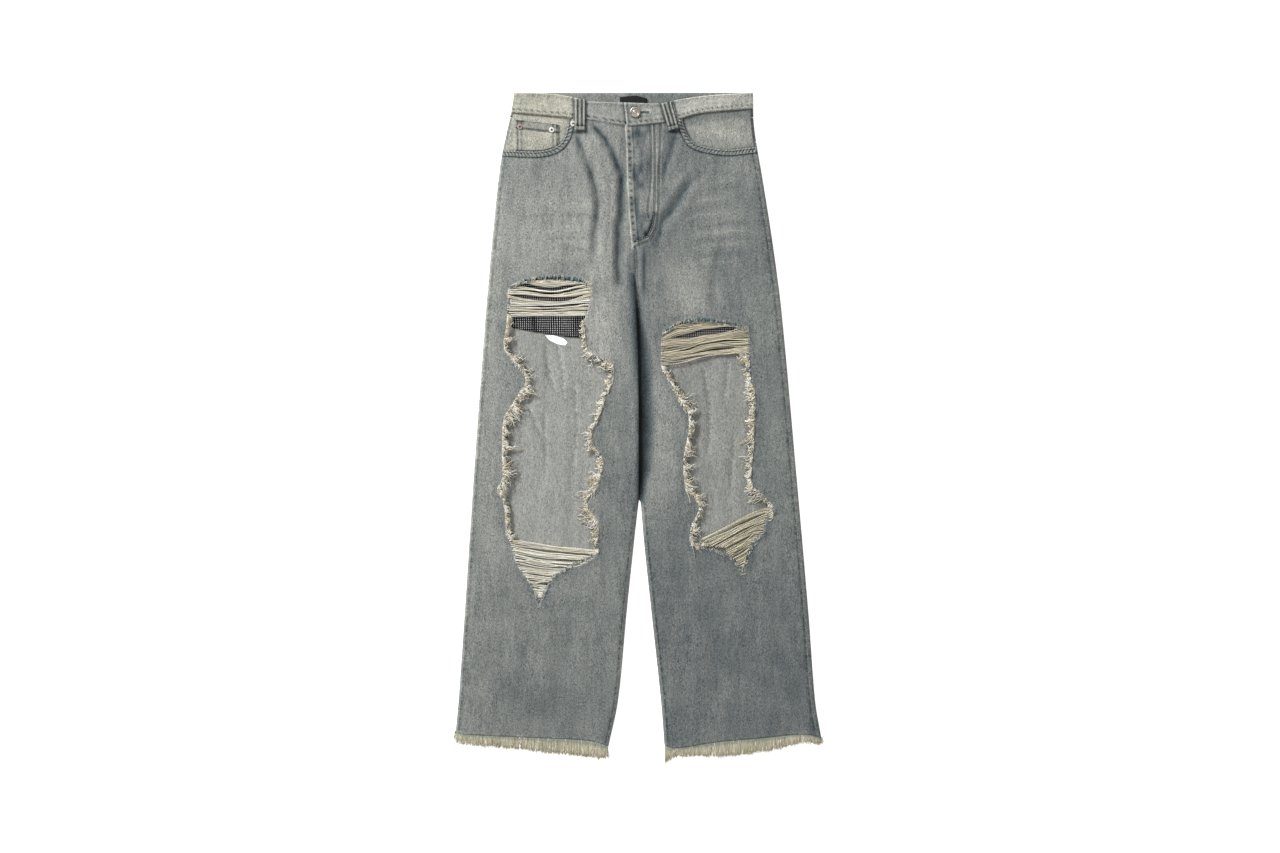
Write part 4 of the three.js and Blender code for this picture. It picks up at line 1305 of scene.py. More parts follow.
def belt_loop(name, node, lean_top, lean_foot, top_y, foot_y, under):
    middle = upright([(lean_top, top_y), (lean_foot, foot_y)])
    lean = (lean_foot - lean_top) / (top_y - foot_y)

    def foot_edge(x):
        return foot_y + lean * (np.asarray(x) - lean_foot)

    def top_edge(x):
        return top_y + lean * (np.asarray(x) - lean_top)

    def at(x, y):
        aside = np.abs(x - middle(y))
        face = under(x, y) + GAP + BAND + 1.9
        face = face + 0.7 * bell(aside - 6.6, 1.5) + 0.5 * bell(aside, 1.6) - 0.4
        face = face + rounded_edges(9 - aside, 1.5, 0.9)
        up_foot = y - foot_edge(x)
        face = face + 0.9 * smooth_step(7, 5.5, up_foot) - 0.8 * bell(up_foot - 7.5, 1.2)
        return face + rounded_edges(up_foot, 1.5, 0.8) - 0.9 * smooth_step(480, 474, y)

    def wash_and_shade(x, y):
        aside = np.abs(x - middle(y))
        # Two light ridges with dark lines beside them, and painted shade at the loop's sides.
        tone = 124 + 62 * bell(aside - 6.4, 1.4) + 40 * bell(aside, 1.4)
        tone = tone - 70 * bell(aside - 3.4, 1.3) - 50 * smooth_step(7.8, 9, aside)
        up_foot = y - foot_edge(x)
        # A lighter foot bar with a dark line above it, and painted shade at the loop's foot.
        tone = mix(tone, 150, 0.8 * smooth_step(7, 5.5, up_foot))
        tone = tone - 70 * bell(up_foot - 7.5, 1.5) - 60 * smooth_step(1.6, 0.4, up_foot)
        return tone + 10 * noise(x, y, 3, 5, 99)

    ring = wall_outline(lambda y: middle(y) - 9, lambda y: middle(y) + 9, top_edge, foot_edge, step=1.5)
    piece = make_cloth(name, ring, [], at, wash_and_shade, [washed_denim], thickness=1.6, spacing=1.5, tint=0.4)
    return finish_piece(piece, "tinted_denim", node)


loop_right = belt_loop("right_front_loop", "belt_loop_front_right", -96, -96, 523, 473, band_under)
loop_left = belt_loop("left_front_loop", "belt_loop_front_left", 42, 54, 516.5, 474, band_under_left)


def back_loop(name, node, centre_x):
    corners = [(-9, 481), (9, 481), (9, 533), (-9, 533)]
    ring = resample([(centre_x + x, y) for x, y in corners], 2, closed=True)
    piece = make_cloth(
        name, ring, [], level(DENIM), level(148), [reverse_denim, washed_denim], thickness=1.1, spacing=2.5,
    )
    return finish_piece(piece, "washed_denim", node)


back_loops = [
    back_loop("right_back_loop", "belt_loop_back_right", -135),
    back_loop("centre_back_loop", "belt_loop_back_centre", -10),
    back_loop("left_back_loop", "belt_loop_back_left", 115),
]

label_top = line([(-32, 526.5), (-6, 528.5), (11.5, 524)])
label = make_cloth(
    "inside_neck_label",
    wall_outline(steady(-32.0), steady(11.5), label_top,
                 steady(500.0), step=2),
    [], lambda x, y: SEAT_RISE + BAND + GAP + THIN + 0.2 * noise(x, y, 12, 30, 100), level(30), [label_cloth],
    thickness=0.7, spacing=2.5,
)
finish_piece(label, "label_cloth", "inside_label")


# ---------------------------------------------------------------- loose threads
ECRU = display_to_light([216, 207, 185])
PALE = display_to_light([247, 240, 221])
TAN = display_to_light([184, 170, 142])
BLUE = display_to_light([104, 124, 132])
OLIVE = display_to_light([200, 196, 168])


def dyes(count, rng, base, other, share=0.3, spread=0.12):
    """A colour for each yarn: mostly the base, some of the other, each a little lighter or darker."""
    pick = rng.random(count)[:, None] < share
    colour = np.where(pick, other, base)
    return np.clip(colour * (1 + spread * rng.normal(size=(count, 1))), 0.02, 0.9)


def bridge_yarns(count, top, bottom, left, right, gaps, height, sag, seed, wander=0.45):
    """Weft yarns left across a tear, in bundles from a top to a bottom line, parted by gaps.

    A gap is its middle line and its half width.
    """
    rng = np.random.default_rng(seed)
    length = 26
    none = steady(0)
    bounds = [(top, none), *gaps, (bottom, none)]
    middle = (left(bottom(0.0)) + right(bottom(0.0))) / 2
    levels = [float(bound(middle)) for bound, _ in bounds]
    heights = [above - under for above, under in zip(levels[:-1], levels[1:])]
    shares = np.array(heights) / sum(heights)
    paths = []
    for (upper, upper_half), (lower, lower_half), share in zip(bounds[:-1], bounds[1:], shares):
        amount = max(3, round(count * share))
        for i in range(amount):
            tuft = 3.6
            place = (i + rng.random()) / tuft
            place = (math.floor(place) + 0.14 + 0.72 * (place % 1)) * tuft / amount
            place = min(max(place, 0.0), 1.0)
            mean_y = float(mix(upper(middle), lower(middle), place))
            x = np.linspace(float(left(mean_y)) - 2.5, float(right(mean_y)) + 2.5, length)
            y = mix(upper(x), lower(x), place)
            x = np.linspace(float(left(y[0])) - 2.5, float(right(y[-1])) + 2.5, length)
            y = mix(upper(x) - upper_half(x), lower(x) + lower_half(x), place)
            strand = len(paths) * 3.1
            stray = rng.random() < 0.07
            y = y + wander * (4 if stray else 1) * noise(x, x * 0 + strand, 22, 1, seed)
            y = y + 0.3 * noise(x, x * 0 + strand, 6, 1, seed + 1)
            u = np.linspace(0, 1, length)
            z = 0.55 * rng.normal() - DENIM * 0.5 - sag * np.sin(math.pi * u) ** 0.7
            z = z + 0.3 * noise(x, x * 0 + strand, 9, 1, seed + 2) + (0.8 if stray else 0)
            paths.append(np.column_stack([x, y, z]))
    paths = np.array(paths)
    paths[..., 2] += height(paths[..., 0], paths[..., 1])
    return paths


def fringe_yarns(
    edge, inner, toward, density, height, low, seed,
    droop=(0.15, 0.95), clump=7.0, reach_scale=1.0, length=10,
):
    """Frayed weft ends along a torn edge: clumps from the edge towards the inner line, hanging down."""
    rng = np.random.default_rng(seed)
    path = resample(rounded(edge), 0.5)
    total = len(path) * 0.5
    count = int(total * density)
    starts = np.sort(rng.random(count)) * total
    t = np.linspace(0, 1, length)
    breaks = np.cumsum(rng.uniform(0.35, 1.65, int(total / clump * 3) + 3) * clump)
    groups = np.searchsorted(breaks, starts)
    group_count = groups.max() + 1
    group_angle = rng.uniform(*droop, group_count) + rng.choice([0, 0.3, -0.7, 0.6], group_count)
    group_angle = np.minimum(group_angle, 1.3)
    group_reach = rng.choice([0.1, 0.45, 0.7, 0.9, 1.1], group_count) * rng.uniform(0.8, 1.1, group_count)
    group_lift = rng.uniform(0.2, 3.8, group_count)
    paths = np.zeros((count, length, 3))
    roots = path[np.minimum((starts / 0.5).astype(int), len(path) - 1)]
    bases = height(*roots.T) - DENIM * 0.5
    floors = low(*roots.T) + 0.7
    reaches = np.maximum(np.abs(inner(roots[:, 1]) - roots[:, 0]), 7.5) * reach_scale
    for i, (px, py) in enumerate(roots):
        reach = reaches[i]
        group = groups[i]
        span = reach * group_reach[group] * rng.uniform(0.35, 1.15) + rng.uniform(0.5, 4)
        centre = breaks[group] - 0.5 * clump
        cx, cy = path[int(np.clip(centre / 0.5, 0, len(path) - 1))]
        angle = min(group_angle[group] + rng.normal() * 0.3, 1.4)
        tip_x = mix(px, cx, 0.55) + toward * span * math.cos(angle)
        tip_y = mix(py, cy, 0.55) - span * math.sin(angle)
        turns = rng.uniform(0.5, 2.6)
        phase = rng.uniform(0, 6.28)
        curl = rng.uniform(0.8, 3.2) * t ** 0.5
        ease = t ** rng.uniform(0.8, 1.3)
        x = mix(px - toward * 2.0, tip_x, ease) + curl * np.sin(turns * 6.28 * t + phase) * math.sin(angle)
        y = mix(py, tip_y, t) + curl * np.cos(turns * 6.28 * t + phase)
        end = max(floors[i], bases[i] - rng.uniform(0.5, 4.5))
        z = mix(bases[i], end, t * t) + group_lift[group] * np.sin(math.pi * t)
        paths[i] = np.column_stack([x, y, z + 0.5 * rng.normal() * t])
    return paths


def loose_warps(path, reach, density, height, seed, turn):
    """Short upright warp ends along the top or foot of a tear."""
    rng = np.random.default_rng(seed)
    path = resample(path, 0.5)
    count = int(len(path) * 0.5 * density)
    paths = np.zeros((count, 6, 3))
    t = np.linspace(0, 1, 6)
    for i in range(count):
        px, py = path[rng.integers(len(path))]
        span = rng.uniform(*reach)
        lean = rng.normal() * 0.35
        x = px + span * t * math.sin(lean) + 0.4 * np.sin(t * 5 + rng.uniform(0, 6))
        y = py + turn * (span * t * math.cos(lean) - 1.5)
        paths[i] = np.column_stack([x, y, 0.2 + 0.8 * np.sin(math.pi * t) * rng.random()])
    paths[..., 2] += height(paths[:, :1, 0], paths[:, :1, 1])
    return paths


def as_piece(name, groups, node_names, material=thread, slot_name="thread"):
    """One piece from several groups of yarns of the same length: (paths, radius, colours)."""
    made = []
    for i, (paths, radius, colours) in enumerate(groups):
        made.append(make_yarns(f"{name}_{i}", paths, radius, colours, material))
    select_only(made[0])
    for piece in made:
        piece.select_set(True)
    if len(made) > 1:
        bpy.ops.object.join()
    piece = bpy.context.view_layer.objects.active
    piece.name = name
    return finish_piece(piece, slot_name, *node_names)


tear_right_left = upright(TEAR_RIGHT_LEFT_EDGE)
tear_right_right = upright(TEAR_RIGHT_RIGHT_EDGE)
tear_left_left = upright(TEAR_LEFT_LEFT_EDGE)
tear_left_right = upright(TEAR_LEFT_RIGHT_EDGE)

def gap_width(size, start=-215, end=-84):
    size = size * 1.5
    middle = (start + end) / 2
    early, late = mix(start, middle, 0.5), mix(middle, end, 0.5)
    return line([(start, 0.0), (early, size * 0.9), (middle, size), (late, size), (end, 0.0)])


rng = np.random.default_rng(5)
top_right_paths = bridge_yarns(
    62, line([(-212, 226), (-185, 231), (-160, 234), (-130, 235), (-100, 231), (-78, 226)]),
    line([(-212, 176), (-150, 177), (-86, 177)]), tear_right_left, tear_right_right,
    [
        (line([(-205, 224), (-185, 226), (-160, 221), (-140, 219), (-110, 224), (-85, 228)]), gap_width(1.9)),
        (line([(-210, 216), (-180, 217), (-140, 213), (-100, 220), (-85, 222)]), gap_width(1.6, -200, -80)),
        (line([(-214, 211), (-180, 207), (-140, 203), (-110, 205), (-85, 212)]), gap_width(2.3)),
        (line([(-210, 193), (-175, 192), (-140, 192), (-88, 197)]), gap_width(1.2, -185, -84)),
        (line([(-210, 188), (-170, 187), (-140, 188), (-88, 190)]), gap_width(0.8, -182, -120)),
    ],
    right_height, 1.6, 101,
)
blue_edge_right = loose_warps(
    [(-205, 224), (-185, 234), (-160, 239), (-130, 241), (-95, 236), (-80, 229)],
    (3, 9), 1.6, right_height, 103, -1,
)
band_top_piece_right = as_piece(
    "threads_across_right_thigh",
    [
        (top_right_paths, 0.62, dyes(len(top_right_paths), rng, ECRU, PALE, 0.8)),
        (blue_edge_right, 0.42, dyes(len(blue_edge_right), rng, BLUE, ECRU, 0.3)),
    ],
    ["tear_threads_top_right"],
)

foot_right_paths = bridge_yarns(
    96, line([(-206, -181), (-160, -187), (-130, -192), (-68, -198)]),
    line([(-212, -282), (-161, -290), (-100, -285)]), tear_right_left, tear_right_right,
    [
        (line([(-205, -190), (-150, -199), (-75, -206)]), gap_width(0.9, -200, -70)),
        (line([(-200, -202), (-150, -212), (-80, -214)]), gap_width(1.0, -198, -80)),
        (line([(-196, -216), (-150, -224), (-110, -226)]), gap_width(0.9, -192, -110)),
        (line([(-190, -232), (-150, -238), (-130, -238)]), gap_width(0.8, -185, -125)),
        (line([(-180, -248), (-150, -252), (-140, -252)]), gap_width(0.7, -176, -140)),
    ],
    right_height, 0.9, 111, wander=1.0,
)
foot_warps_right = loose_warps(
    [(-180, -242), (-163, -278), (-158, -280), (-140, -243), (-110, -224), (-72, -206)],
    (3, 8), 1.2, right_height, 113, 1,
)
foot_piece_right = as_piece(
    "threads_across_right_shin",
    [
        (foot_right_paths, 0.66, dyes(len(foot_right_paths), rng, ECRU, PALE, 0.7)),
        (foot_warps_right, 0.42, dyes(len(foot_warps_right), rng, BLUE, ECRU, 0.4)),
    ],
    ["tear_threads_foot_right"],
)

top_left_paths = bridge_yarns(
    64, line([(37, 150), (60, 162), (95, 168), (135, 164), (173, 154)]),
    line([(36, 97), (60, 99), (84, 106), (120, 115), (150, 117), (173, 117)]),
    tear_left_left, tear_left_right,
    [
        (
            line([(40, 137), (55, 142), (80, 145), (100, 150), (130, 154), (170, 160)]),
            gap_width(3.4, 46, 164),
        ),
        (line([(38, 117), (60, 120), (80, 124), (95, 130), (130, 136), (170, 138)]), gap_width(1.1, 44, 170)),
        (line([(38, 112), (50, 113), (80, 116), (110, 122), (170, 128)]), gap_width(0.9, 46, 168)),
        (line([(38, 104), (65, 108), (100, 113), (170, 120)]), gap_width(0.8, 50, 150)),
    ],
    left_height, 1.6, 121, wander=0.9,
)
blue_edge_left = loose_warps(
    [(40, 153), (60, 166), (95, 173), (135, 168), (170, 158)], (3, 9), 1.6, left_height, 123, -1,
)
band_top_piece_left = as_piece(
    "threads_across_left_thigh",
    [
        (top_left_paths, 0.62, dyes(len(top_left_paths), rng, ECRU, OLIVE, 0.3)),
        (blue_edge_left, 0.42, dyes(len(blue_edge_left), rng, BLUE, ECRU, 0.3)),
    ],
    ["tear_threads_top_left"],
)

foot_left_paths = bridge_yarns(
    84, line([(82, -186), (100, -178), (140, -158), (180, -137), (200, -130)]),
    line([(100, -252), (163, -238), (220, -215)]), tear_left_left, tear_left_right,
    [
        (line([(90, -189), (105, -181), (150, -160), (200, -139)]), gap_width(1.0, 98, 196)),
        (line([(100, -198), (120, -190), (175, -160), (198, -150)]), gap_width(1.2, 104, 192)),
        (line([(120, -205), (150, -188), (185, -170)]), gap_width(1.1, 122, 186)),
        (line([(140, -212), (160, -202), (175, -192)]), gap_width(0.8, 138, 176)),
    ],
    left_height, 0.9, 131, wander=1.1,
)
foot_warps_left = loose_warps(
    [(85, -192), (120, -200), (148, -214), (163, -232), (170, -212), (190, -178)],
    (3, 8), 1.2, left_height, 133, 1,
)
foot_piece_left = as_piece(
    "threads_across_left_shin",
    [
        (foot_left_paths, 0.6, dyes(len(foot_left_paths), rng, ECRU, OLIVE, 0.4)),
        (foot_warps_left, 0.42, dyes(len(foot_warps_left), rng, BLUE, ECRU, 0.4)),
    ],
    ["tear_threads_foot_left"],
)

INNER_RIGHT_LEFT = upright([
    (-203, 180), (-204, 140), (-200, 120), (-183, 108), (-178, 98), (-172, 85), (-170, 75), (-168, 60),
    (-166, 45), (-180, 36), (-184, 20), (-192, 8), (-204, -10), (-200, -40), (-195, -55), (-200, -70),
    (-205, -95), (-206, -130), (-200, -160), (-194, -180),
])
INNER_RIGHT_RIGHT = upright([
    (-95, 180), (-95, 125), (-85, 110), (-76, 100), (-65, 88), (-58, 78), (-60, 60), (-62, 40), (-68, 25),
    (-75, 10), (-84, 0), (-92, -15), (-92, -28), (-80, -37), (-72, -48), (-72, -60), (-76, -72),
    (-90, -85), (-97, -105), (-104, -120), (-113, -135), (-106, -148), (-98, -160), (-86, -172),
    (-85, -195),
])
INNER_LEFT_LEFT = upright([
    (42, 100), (55, 85), (60, 72), (66, 62), (75, 55), (85, 43), (88, 28), (92, 15), (90, 0), (89, -20),
    (84, -40), (91, -58), (93, -75), (92, -88), (98, -100), (104, -115), (105, -132), (98, -145),
    (92, -152), (96, -168), (103, -190),
])
INNER_LEFT_RIGHT = upright([
    (160, 112), (158, 104), (163, 90), (165, 70), (168, 50), (168, 20), (166, 0), (160, -15), (165, -30),
    (164, -60), (164, -80), (160, -98), (172, -112), (185, -118), (196, -130), (205, -140),
])


def part_of(edge, top, foot):
    return [point for point in edge if foot <= point[1] <= top]


def fringe_piece(name, node, edge, inner, toward, height, seed, density=1.25):
    rng = np.random.default_rng(seed)
    paths = fringe_yarns(edge, inner, toward, density, height, back_height, seed)
    short = fringe_yarns(
        edge, inner, toward, density * 1.2, height, back_height, seed + 1,
        droop=(-0.2, 0.5), clump=2.5, reach_scale=0.35, length=7,
    )
    long = fringe_yarns(
        edge, inner, toward, 0.22, height, back_height, seed + 2,
        droop=(0.5, 1.3), clump=9, reach_scale=1.25, length=12,
    )
    return as_piece(name, [
        (paths, 0.6, dyes(len(paths), rng, PALE, TAN, 0.24, 0.2)),
        (short, 0.55, dyes(len(short), rng, ECRU, BLUE, 0.25, 0.22)),
        (long, 0.5, dyes(len(long), rng, PALE, ECRU, 0.4, 0.2)),
    ], [node])


fringe_outer_right = fringe_piece(
    "fray_outer_right", "tear_fringe_outer_right", part_of(TEAR_RIGHT_LEFT_EDGE, 180, -184),
    INNER_RIGHT_LEFT, 1, right_height, 201, density=1.5,
)
fringe_inner_right = fringe_piece(
    "fray_inner_right", "tear_fringe_inner_right", part_of(TEAR_RIGHT_RIGHT_EDGE, 172, -200)[::-1],
    INNER_RIGHT_RIGHT, -1, right_height, 211, density=1.0,
)
fringe_inner_left = fringe_piece(
    "fray_inner_left", "tear_fringe_inner_left", part_of(TEAR_LEFT_LEFT_EDGE, 98, -190),
    INNER_LEFT_LEFT, 1, left_height, 221,
)
fringe_outer_left = fringe_piece(
    "fray_outer_left", "tear_fringe_outer_left", part_of(TEAR_LEFT_RIGHT_EDGE, 116, -142)[::-1],
    INNER_LEFT_RIGHT, -1, left_height, 231,
)


HEM_POINTS = 6


def hem_yarns(left_x, right_x, hem, end, height, density, seed):
    """Unravelled hem: weft gone, so that the ends hang straight down in soft clumps."""
    rng = np.random.default_rng(seed)
    count = int((right_x - left_x) * density)
    starts = np.sort(rng.uniform(left_x + 1, right_x - 1, count))
    t = np.linspace(0, 1, HEM_POINTS)
    groups = ((starts - left_x) / 4.5).astype(int)
    lean = rng.normal(size=groups.max() + 1) * 0.9
    short = rng.uniform(-1.2, 1.6, groups.max() + 1)
    paths = np.zeros((count, HEM_POINTS, 3))
    colours = np.zeros((count, HEM_POINTS, 3))
    bases = height(starts, hem(starts) + 1.5)
    for i, x0 in enumerate(starts):
        top_y = float(hem(x0)) + 1.5
        tip_y = float(end(x0)) - short[groups[i]] + rng.normal() * 1.6
        x = x0 + (lean[groups[i]] + rng.normal() * 1.8) * t ** 1.3
        x = x + 0.5 * np.sin(t * 6 + rng.uniform(0, 6)) * t
        y = mix(top_y, tip_y, t)
        z = mix(bases[i], max(bases[i] - rng.uniform(0.5, 3), 0.6), t * t)
        z = z + rng.uniform(0, 1.0) * np.sin(math.pi * t)
        paths[i] = np.column_stack([x, y, z])
        tip = (OLIVE if rng.random() < 0.55 else ECRU) * (1 + 0.14 * rng.normal())
        root = display_to_light([138, 150, 140]) * (1 + 0.1 * rng.normal())
        colours[i] = mix(root, tip, smooth_step(0.05, 0.5, t)[:, None])
    return paths, np.clip(colours, 0.02, 0.9)


def hem_piece(name, node, left_x, right_x, hem, end, height, seed, density):
    paths, colours = hem_yarns(left_x, right_x, hem, end, height, density, seed)
    piece = make_yarns(name, paths, 0.45, colours.reshape(-1, 3)[::HEM_POINTS], thread)
    layer = piece.data.color_attributes["wash_and_shade"]
    filled = np.ones((len(piece.data.vertices), 4), np.float32)
    filled[:, :3] = np.repeat(colours.reshape(-1, 3), 4, axis=0)
    layer.data.foreach_set("color", filled.ravel())
    return finish_piece(piece, "thread", node)


def under_front(height):
    return lambda x, y: height(x, y) - DENIM * 0.6


floor_layer = level(0.7)
RIGHT_HEM = (-297, -50, hem_right, fringe_end_right)
LEFT_HEM = (39, 293, hem_left, fringe_end_left)
hem_front_right = hem_piece(
    "hem_fray_front_right", "hem_fringe_front_right", *RIGHT_HEM, under_front(right_height), 301, 4.2,
)
hem_front_left = hem_piece(
    "hem_fray_front_left", "hem_fringe_front_left", *LEFT_HEM, under_front(left_height), 303, 4.2,
)
hem_back_right = hem_piece("hem_fray_back_right", "hem_fringe_back_right", *RIGHT_HEM, floor_layer, 305, 1.7)
hem_back_left = hem_piece("hem_fray_back_left", "hem_fringe_back_left", *LEFT_HEM, floor_layer, 307, 1.7)


# ---------------------------------------------------------------- stitching
def stitch_row(path, height, pitch=4.2, length=3.1, lift=0.35):
    """Straight stitches along a path, as short humps of thread on the cloth."""
    path = resample(path, 0.6)
    run = np.arange(len(path)) * 0.6
    starts = np.arange(1.0, run[-1] - length, pitch)
    at = starts[:, None] + np.array([0, 0.3, 0.7, 1.0]) * length
    x = np.interp(at, run, path[:, 0])
    y = np.interp(at, run, path[:, 1])
    rise = np.array([-0.1, lift, lift, -0.1])
    return np.stack([x, y, height(x, y) + rise], axis=2)


def beside(path, distance):
    """The path moved sideways, to its left."""
    path = resample(path, 2.0)
    way = np.gradient(path, axis=0)
    way /= np.maximum(np.hypot(*way.T), 1e-6)[:, None]
    return path + np.column_stack([-way[:, 1], way[:, 0]]) * distance


def upright_path(edge, top, foot, shift=0.0):
    y = np.linspace(top, foot, 120)
    return np.column_stack([edge(y) + shift, y])


def across_path(edge, left_x, right_x, shift=0.0):
    x = np.linspace(left_x, right_x, 90)
    return np.column_stack([x, edge(x) + shift])


STITCH = display_to_light([150, 152, 142])
PALE_STITCH = display_to_light([176, 172, 154])
rng = np.random.default_rng(9)


def stitch_piece(name, rows, base, other, radius=0.45):
    paths = np.concatenate(rows)
    piece = make_yarns(name, paths, radius, dyes(len(paths), rng, base, other, 0.35, 0.14), thread)
    return finish_piece(piece, "thread")


def mouth_row(path, distance, side, height):
    """A row beside a pocket mouth, from the waistband to the side seam."""
    path = beside(path, distance)[2:]
    return stitch_row(path[np.abs(path[:, 0]) < np.abs(side(path[:, 1])) - 2], height)


right_rows = [
    mouth_row(MOUTH_PATH_RIGHT, 1.6, side_right, right_height),
    mouth_row(MOUTH_PATH_RIGHT, 8.0, side_right, right_height),
    stitch_row(upright_path(side_right, 436, -485, 6.5), right_height),
    stitch_row(upright_path(inseam_right, -150, -500, -4.5), right_height),
]
left_rows = [
    mouth_row(MOUTH_PATH_LEFT, -1.6, side_left, left_height),
    mouth_row(MOUTH_PATH_LEFT, -8.0, side_left, left_height),
    stitch_row(upright_path(side_left, 440, -485, -6.5), left_height),
    stitch_row(upright_path(inseam_left, -150, -500, 4.5), left_height),
    stitch_row(upright_path(fly_edge, 478, 292, 2.6), left_height),
    *[stitch_row(row, left_height, lift=0.1) for row in FLY_ROWS],
    stitch_row([(-8, 282), (-5, 240), (-2.5, 190)], left_height),
]
stitches_right = stitch_piece("right_leg_stitching", right_rows, STITCH, PALE_STITCH)
stitches_left = stitch_piece("left_leg_stitching", left_rows, STITCH, PALE_STITCH)

right_band_height, left_band_height = band_height(True), band_height(False)
band_rows = [
    stitch_row(across_path(band_top_right, -199, -107, -2.2), right_band_height),
    stitch_row(across_path(band_top_right, -85, -27, -2.2), right_band_height),
    stitch_row(across_path(band_seam_right, -204, -107, 2.2), right_band_height),
    stitch_row(across_path(band_seam_right, -85, -23, 2.2), right_band_height),
    stitch_row(across_path(band_top_left, -22, 32, -2.2), left_band_height),
    stitch_row(across_path(band_top_left, 53, 179, -2.2), left_band_height),
    stitch_row(across_path(band_seam_left, -19, 40, 2.2), left_band_height),
    stitch_row(across_path(band_seam_left, 62, 181, 2.2), left_band_height),
    stitch_row(upright_path(centre_front, 514, 484, 1.8), left_band_height),
]
stitches_band = stitch_piece("waistband_stitching", band_rows, PALE_STITCH, STITCH)
coin_rows = [
    stitch_row([(-196.5, 486), (-196.5, 443)], coin_height),
    stitch_row([(-131.5, 480), (-131.5, 452)], coin_height),
    stitch_row([(-196, 476.5), (-132, 469)], coin_height),
]
stitches_coin = stitch_piece("coin_pocket_stitching", coin_rows, STITCH, PALE_STITCH, 0.32)


# ---------------------------------------------------------------- button and rivets
def metre(x, y, z):
    return ((x + SHIFT_X) / 1000, (y + SHIFT_Y) / 1000, z / 1000)


def join_as(name, pieces):
    select_only(pieces[0])
    for piece in pieces:
        piece.select_set(True)
    bpy.ops.object.join()
    joined = bpy.context.view_layer.objects.active
    joined.name = name
    joined.data.name = name
    bpy.ops.object.transform_apply(location=True, rotation=True, scale=True)
    bpy.ops.object.shade_smooth_by_angle(angle=math.radians(40))
    joined.data.materials.clear()
    joined.data.materials.append(worn_metal)
    return joined


def disc(radius, height, place, bevel):
    bpy.ops.object.select_all(action="DESELECT")
    bpy.ops.mesh.primitive_cylinder_add(
        vertices=48, radius=radius / 1000, depth=height / 1000, location=place,
    )
    piece = bpy.context.active_object
    softened = piece.modifiers.new("softened", "BEVEL")
    softened.width = bevel / 1000
    softened.segments = 3
    bpy.ops.object.modifier_apply(modifier=softened.name)
    return piece


def dome(radius, height, place):
    bpy.ops.object.select_all(action="DESELECT")
    bpy.ops.mesh.primitive_uv_sphere_add(segments=32, ring_count=16, radius=radius / 1000, location=place)
    piece = bpy.context.active_object
    piece.scale = (1, 1, height / radius)
    return piece


def rolled_rim(major, minor, place):
    bpy.ops.object.select_all(action="DESELECT")
    bpy.ops.mesh.primitive_torus_add(
        major_radius=major / 1000, minor_radius=minor / 1000, major_segments=48, minor_segments=12,
        location=place,
    )
    return bpy.context.active_object


button_foot = button_low.z * 1000
button = join_as("shank_button", [
    disc(8.4, 1.7, metre(*BUTTON, button_foot + 0.85), 0.5),
    rolled_rim(7.2, 0.75, metre(*BUTTON, button_foot + 1.9)),
    rolled_rim(4.3, 0.35, metre(*BUTTON, button_foot + 1.75)),
    dome(3.2, 1.1, metre(*BUTTON, button_foot + 1.8)),
])
finish_piece(button, "worn_metal", "waist_button")



def plain_material(name, colour, roughness, specular, metallic=0.0):
    material, _, surface = new_material(name, roughness, specular)
    surface.inputs["Base Color"].default_value = (*colour, 1)
    surface.inputs["Metallic"].default_value = metallic
    return material


bright_metal = plain_material("bright_metal", (0.80, 0.78, 0.72), 0.4, 0.5, 0.3)
copper = plain_material("copper", (0.40, 0.31, 0.27), 0.5, 0.5, 0.5)
hollow = plain_material("rivet_hollow", (0.06, 0.055, 0.05), 0.8, 0.2)

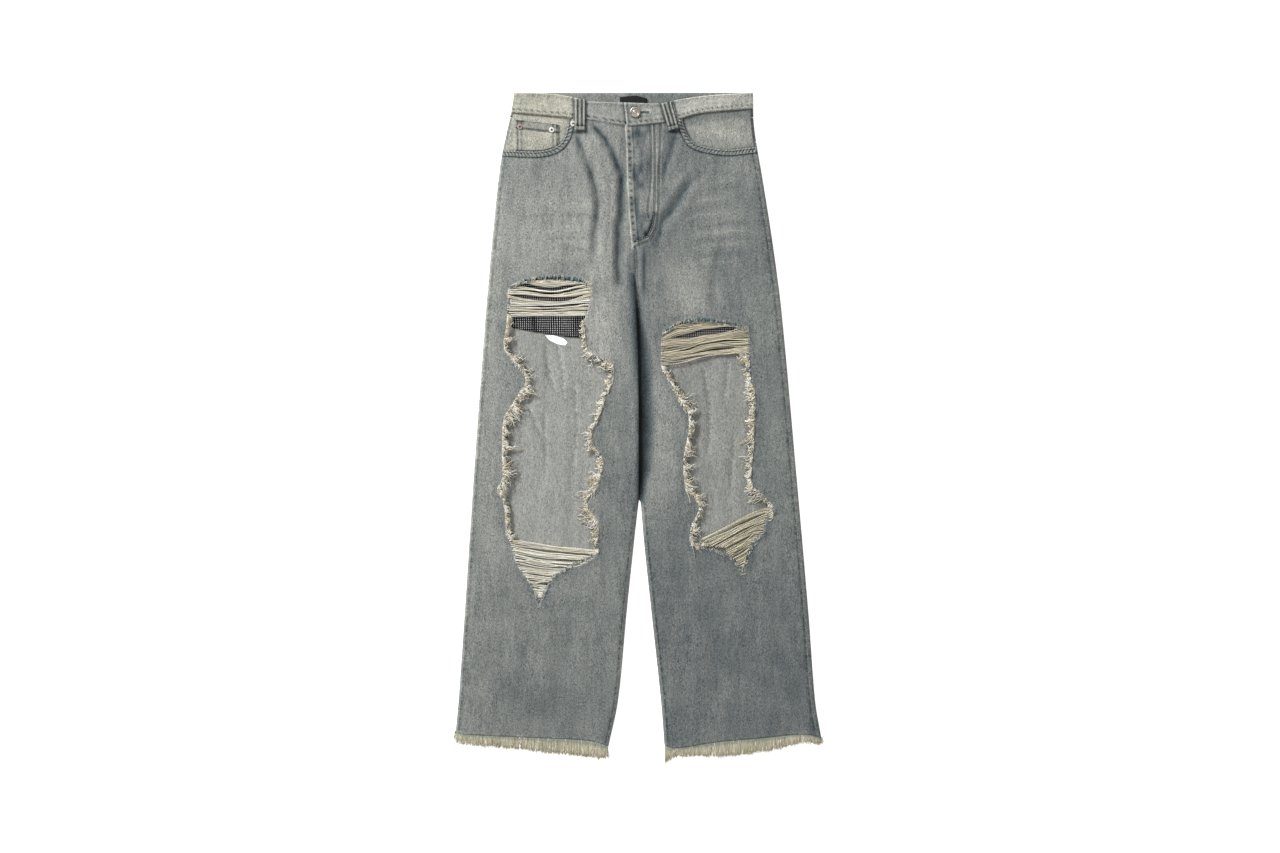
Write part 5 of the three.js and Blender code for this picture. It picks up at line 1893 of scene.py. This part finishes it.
RIVETS = [
    (-107, 484, right_height, bright_metal),
    (-141, 474, coin_height, bright_metal),
    (-192, 479, coin_height, copper),
]
for number, (x, y, height, metal) in enumerate(RIVETS, start=1):
    foot = float(height(x, y)) + 0.05
    rivet = join_as(f"rivet_{number}", [
        disc(4.4, 0.8, metre(x, y, foot + 0.4), 0.3),
        dome(1.6, 0.6, metre(x, y, foot + 0.8)),
    ])
    rivet.data.materials.clear()
    rivet.data.materials.append(metal)
    rivet.data.materials.append(hollow)
    for face in rivet.data.polygons:
        if face.center.z * 1000 > foot + 0.83:
            face.material_index = 1
    finish_piece(rivet, "worn_metal", f"pocket_rivet_{number}")


# ---------------------------------------------------------------- floor, light and camera
bpy.ops.object.select_all(action="DESELECT")
bpy.ops.mesh.primitive_plane_add(size=90, location=(0, 0, -0.0005))
floor = bpy.context.active_object
floor.name = "floor"
white, tree, surface = new_material("white_floor", 0.9, 0.1)
surface.inputs["Base Color"].default_value = (0.8, 0.8, 0.8, 1)
surface.inputs["Emission Color"].default_value = (1, 1, 1, 1)
surface.inputs["Emission Strength"].default_value = 0.75
floor.data.materials.append(white)

sky = bpy.data.worlds.new("even_light")
sky.use_nodes = True
sky.node_tree.nodes["Background"].inputs["Color"].default_value = (1, 1, 1, 1)
sky.node_tree.nodes["Background"].inputs["Strength"].default_value = 0.36
bpy.context.scene.world = sky


def soft_box(name, place, aim, size, power):
    lamp = bpy.data.lights.new(name, "AREA")
    lamp.shape = "RECTANGLE"
    lamp.size, lamp.size_y = size
    lamp.energy = power
    holder = bpy.data.objects.new(name, lamp)
    holder.location = place
    holder.rotation_euler = (Vector(aim) - Vector(place)).to_track_quat("-Z", "Y").to_euler()
    bpy.context.scene.collection.objects.link(holder)
    return holder


soft_box("window", (-3.4, 3.6, 3.2), (0, 0, 0), (1.6, 1.6), 350)
soft_box("overhead", (0.6, -0.6, 4.5), (0, 0, 0), (2.5, 2.5), 26)

lens = bpy.data.cameras.new("overhead_camera")
lens.lens = 105.5
lens.sensor_width = 36
lens.clip_end = 150
camera = bpy.data.objects.new("overhead_camera", lens)
camera.location = (SHIFT_X / 1000, SHIFT_Y / 1000, 6.0)
bpy.context.scene.collection.objects.link(camera)
bpy.context.scene.camera = camera
bpy.context.scene.view_settings.view_transform = "Standard"
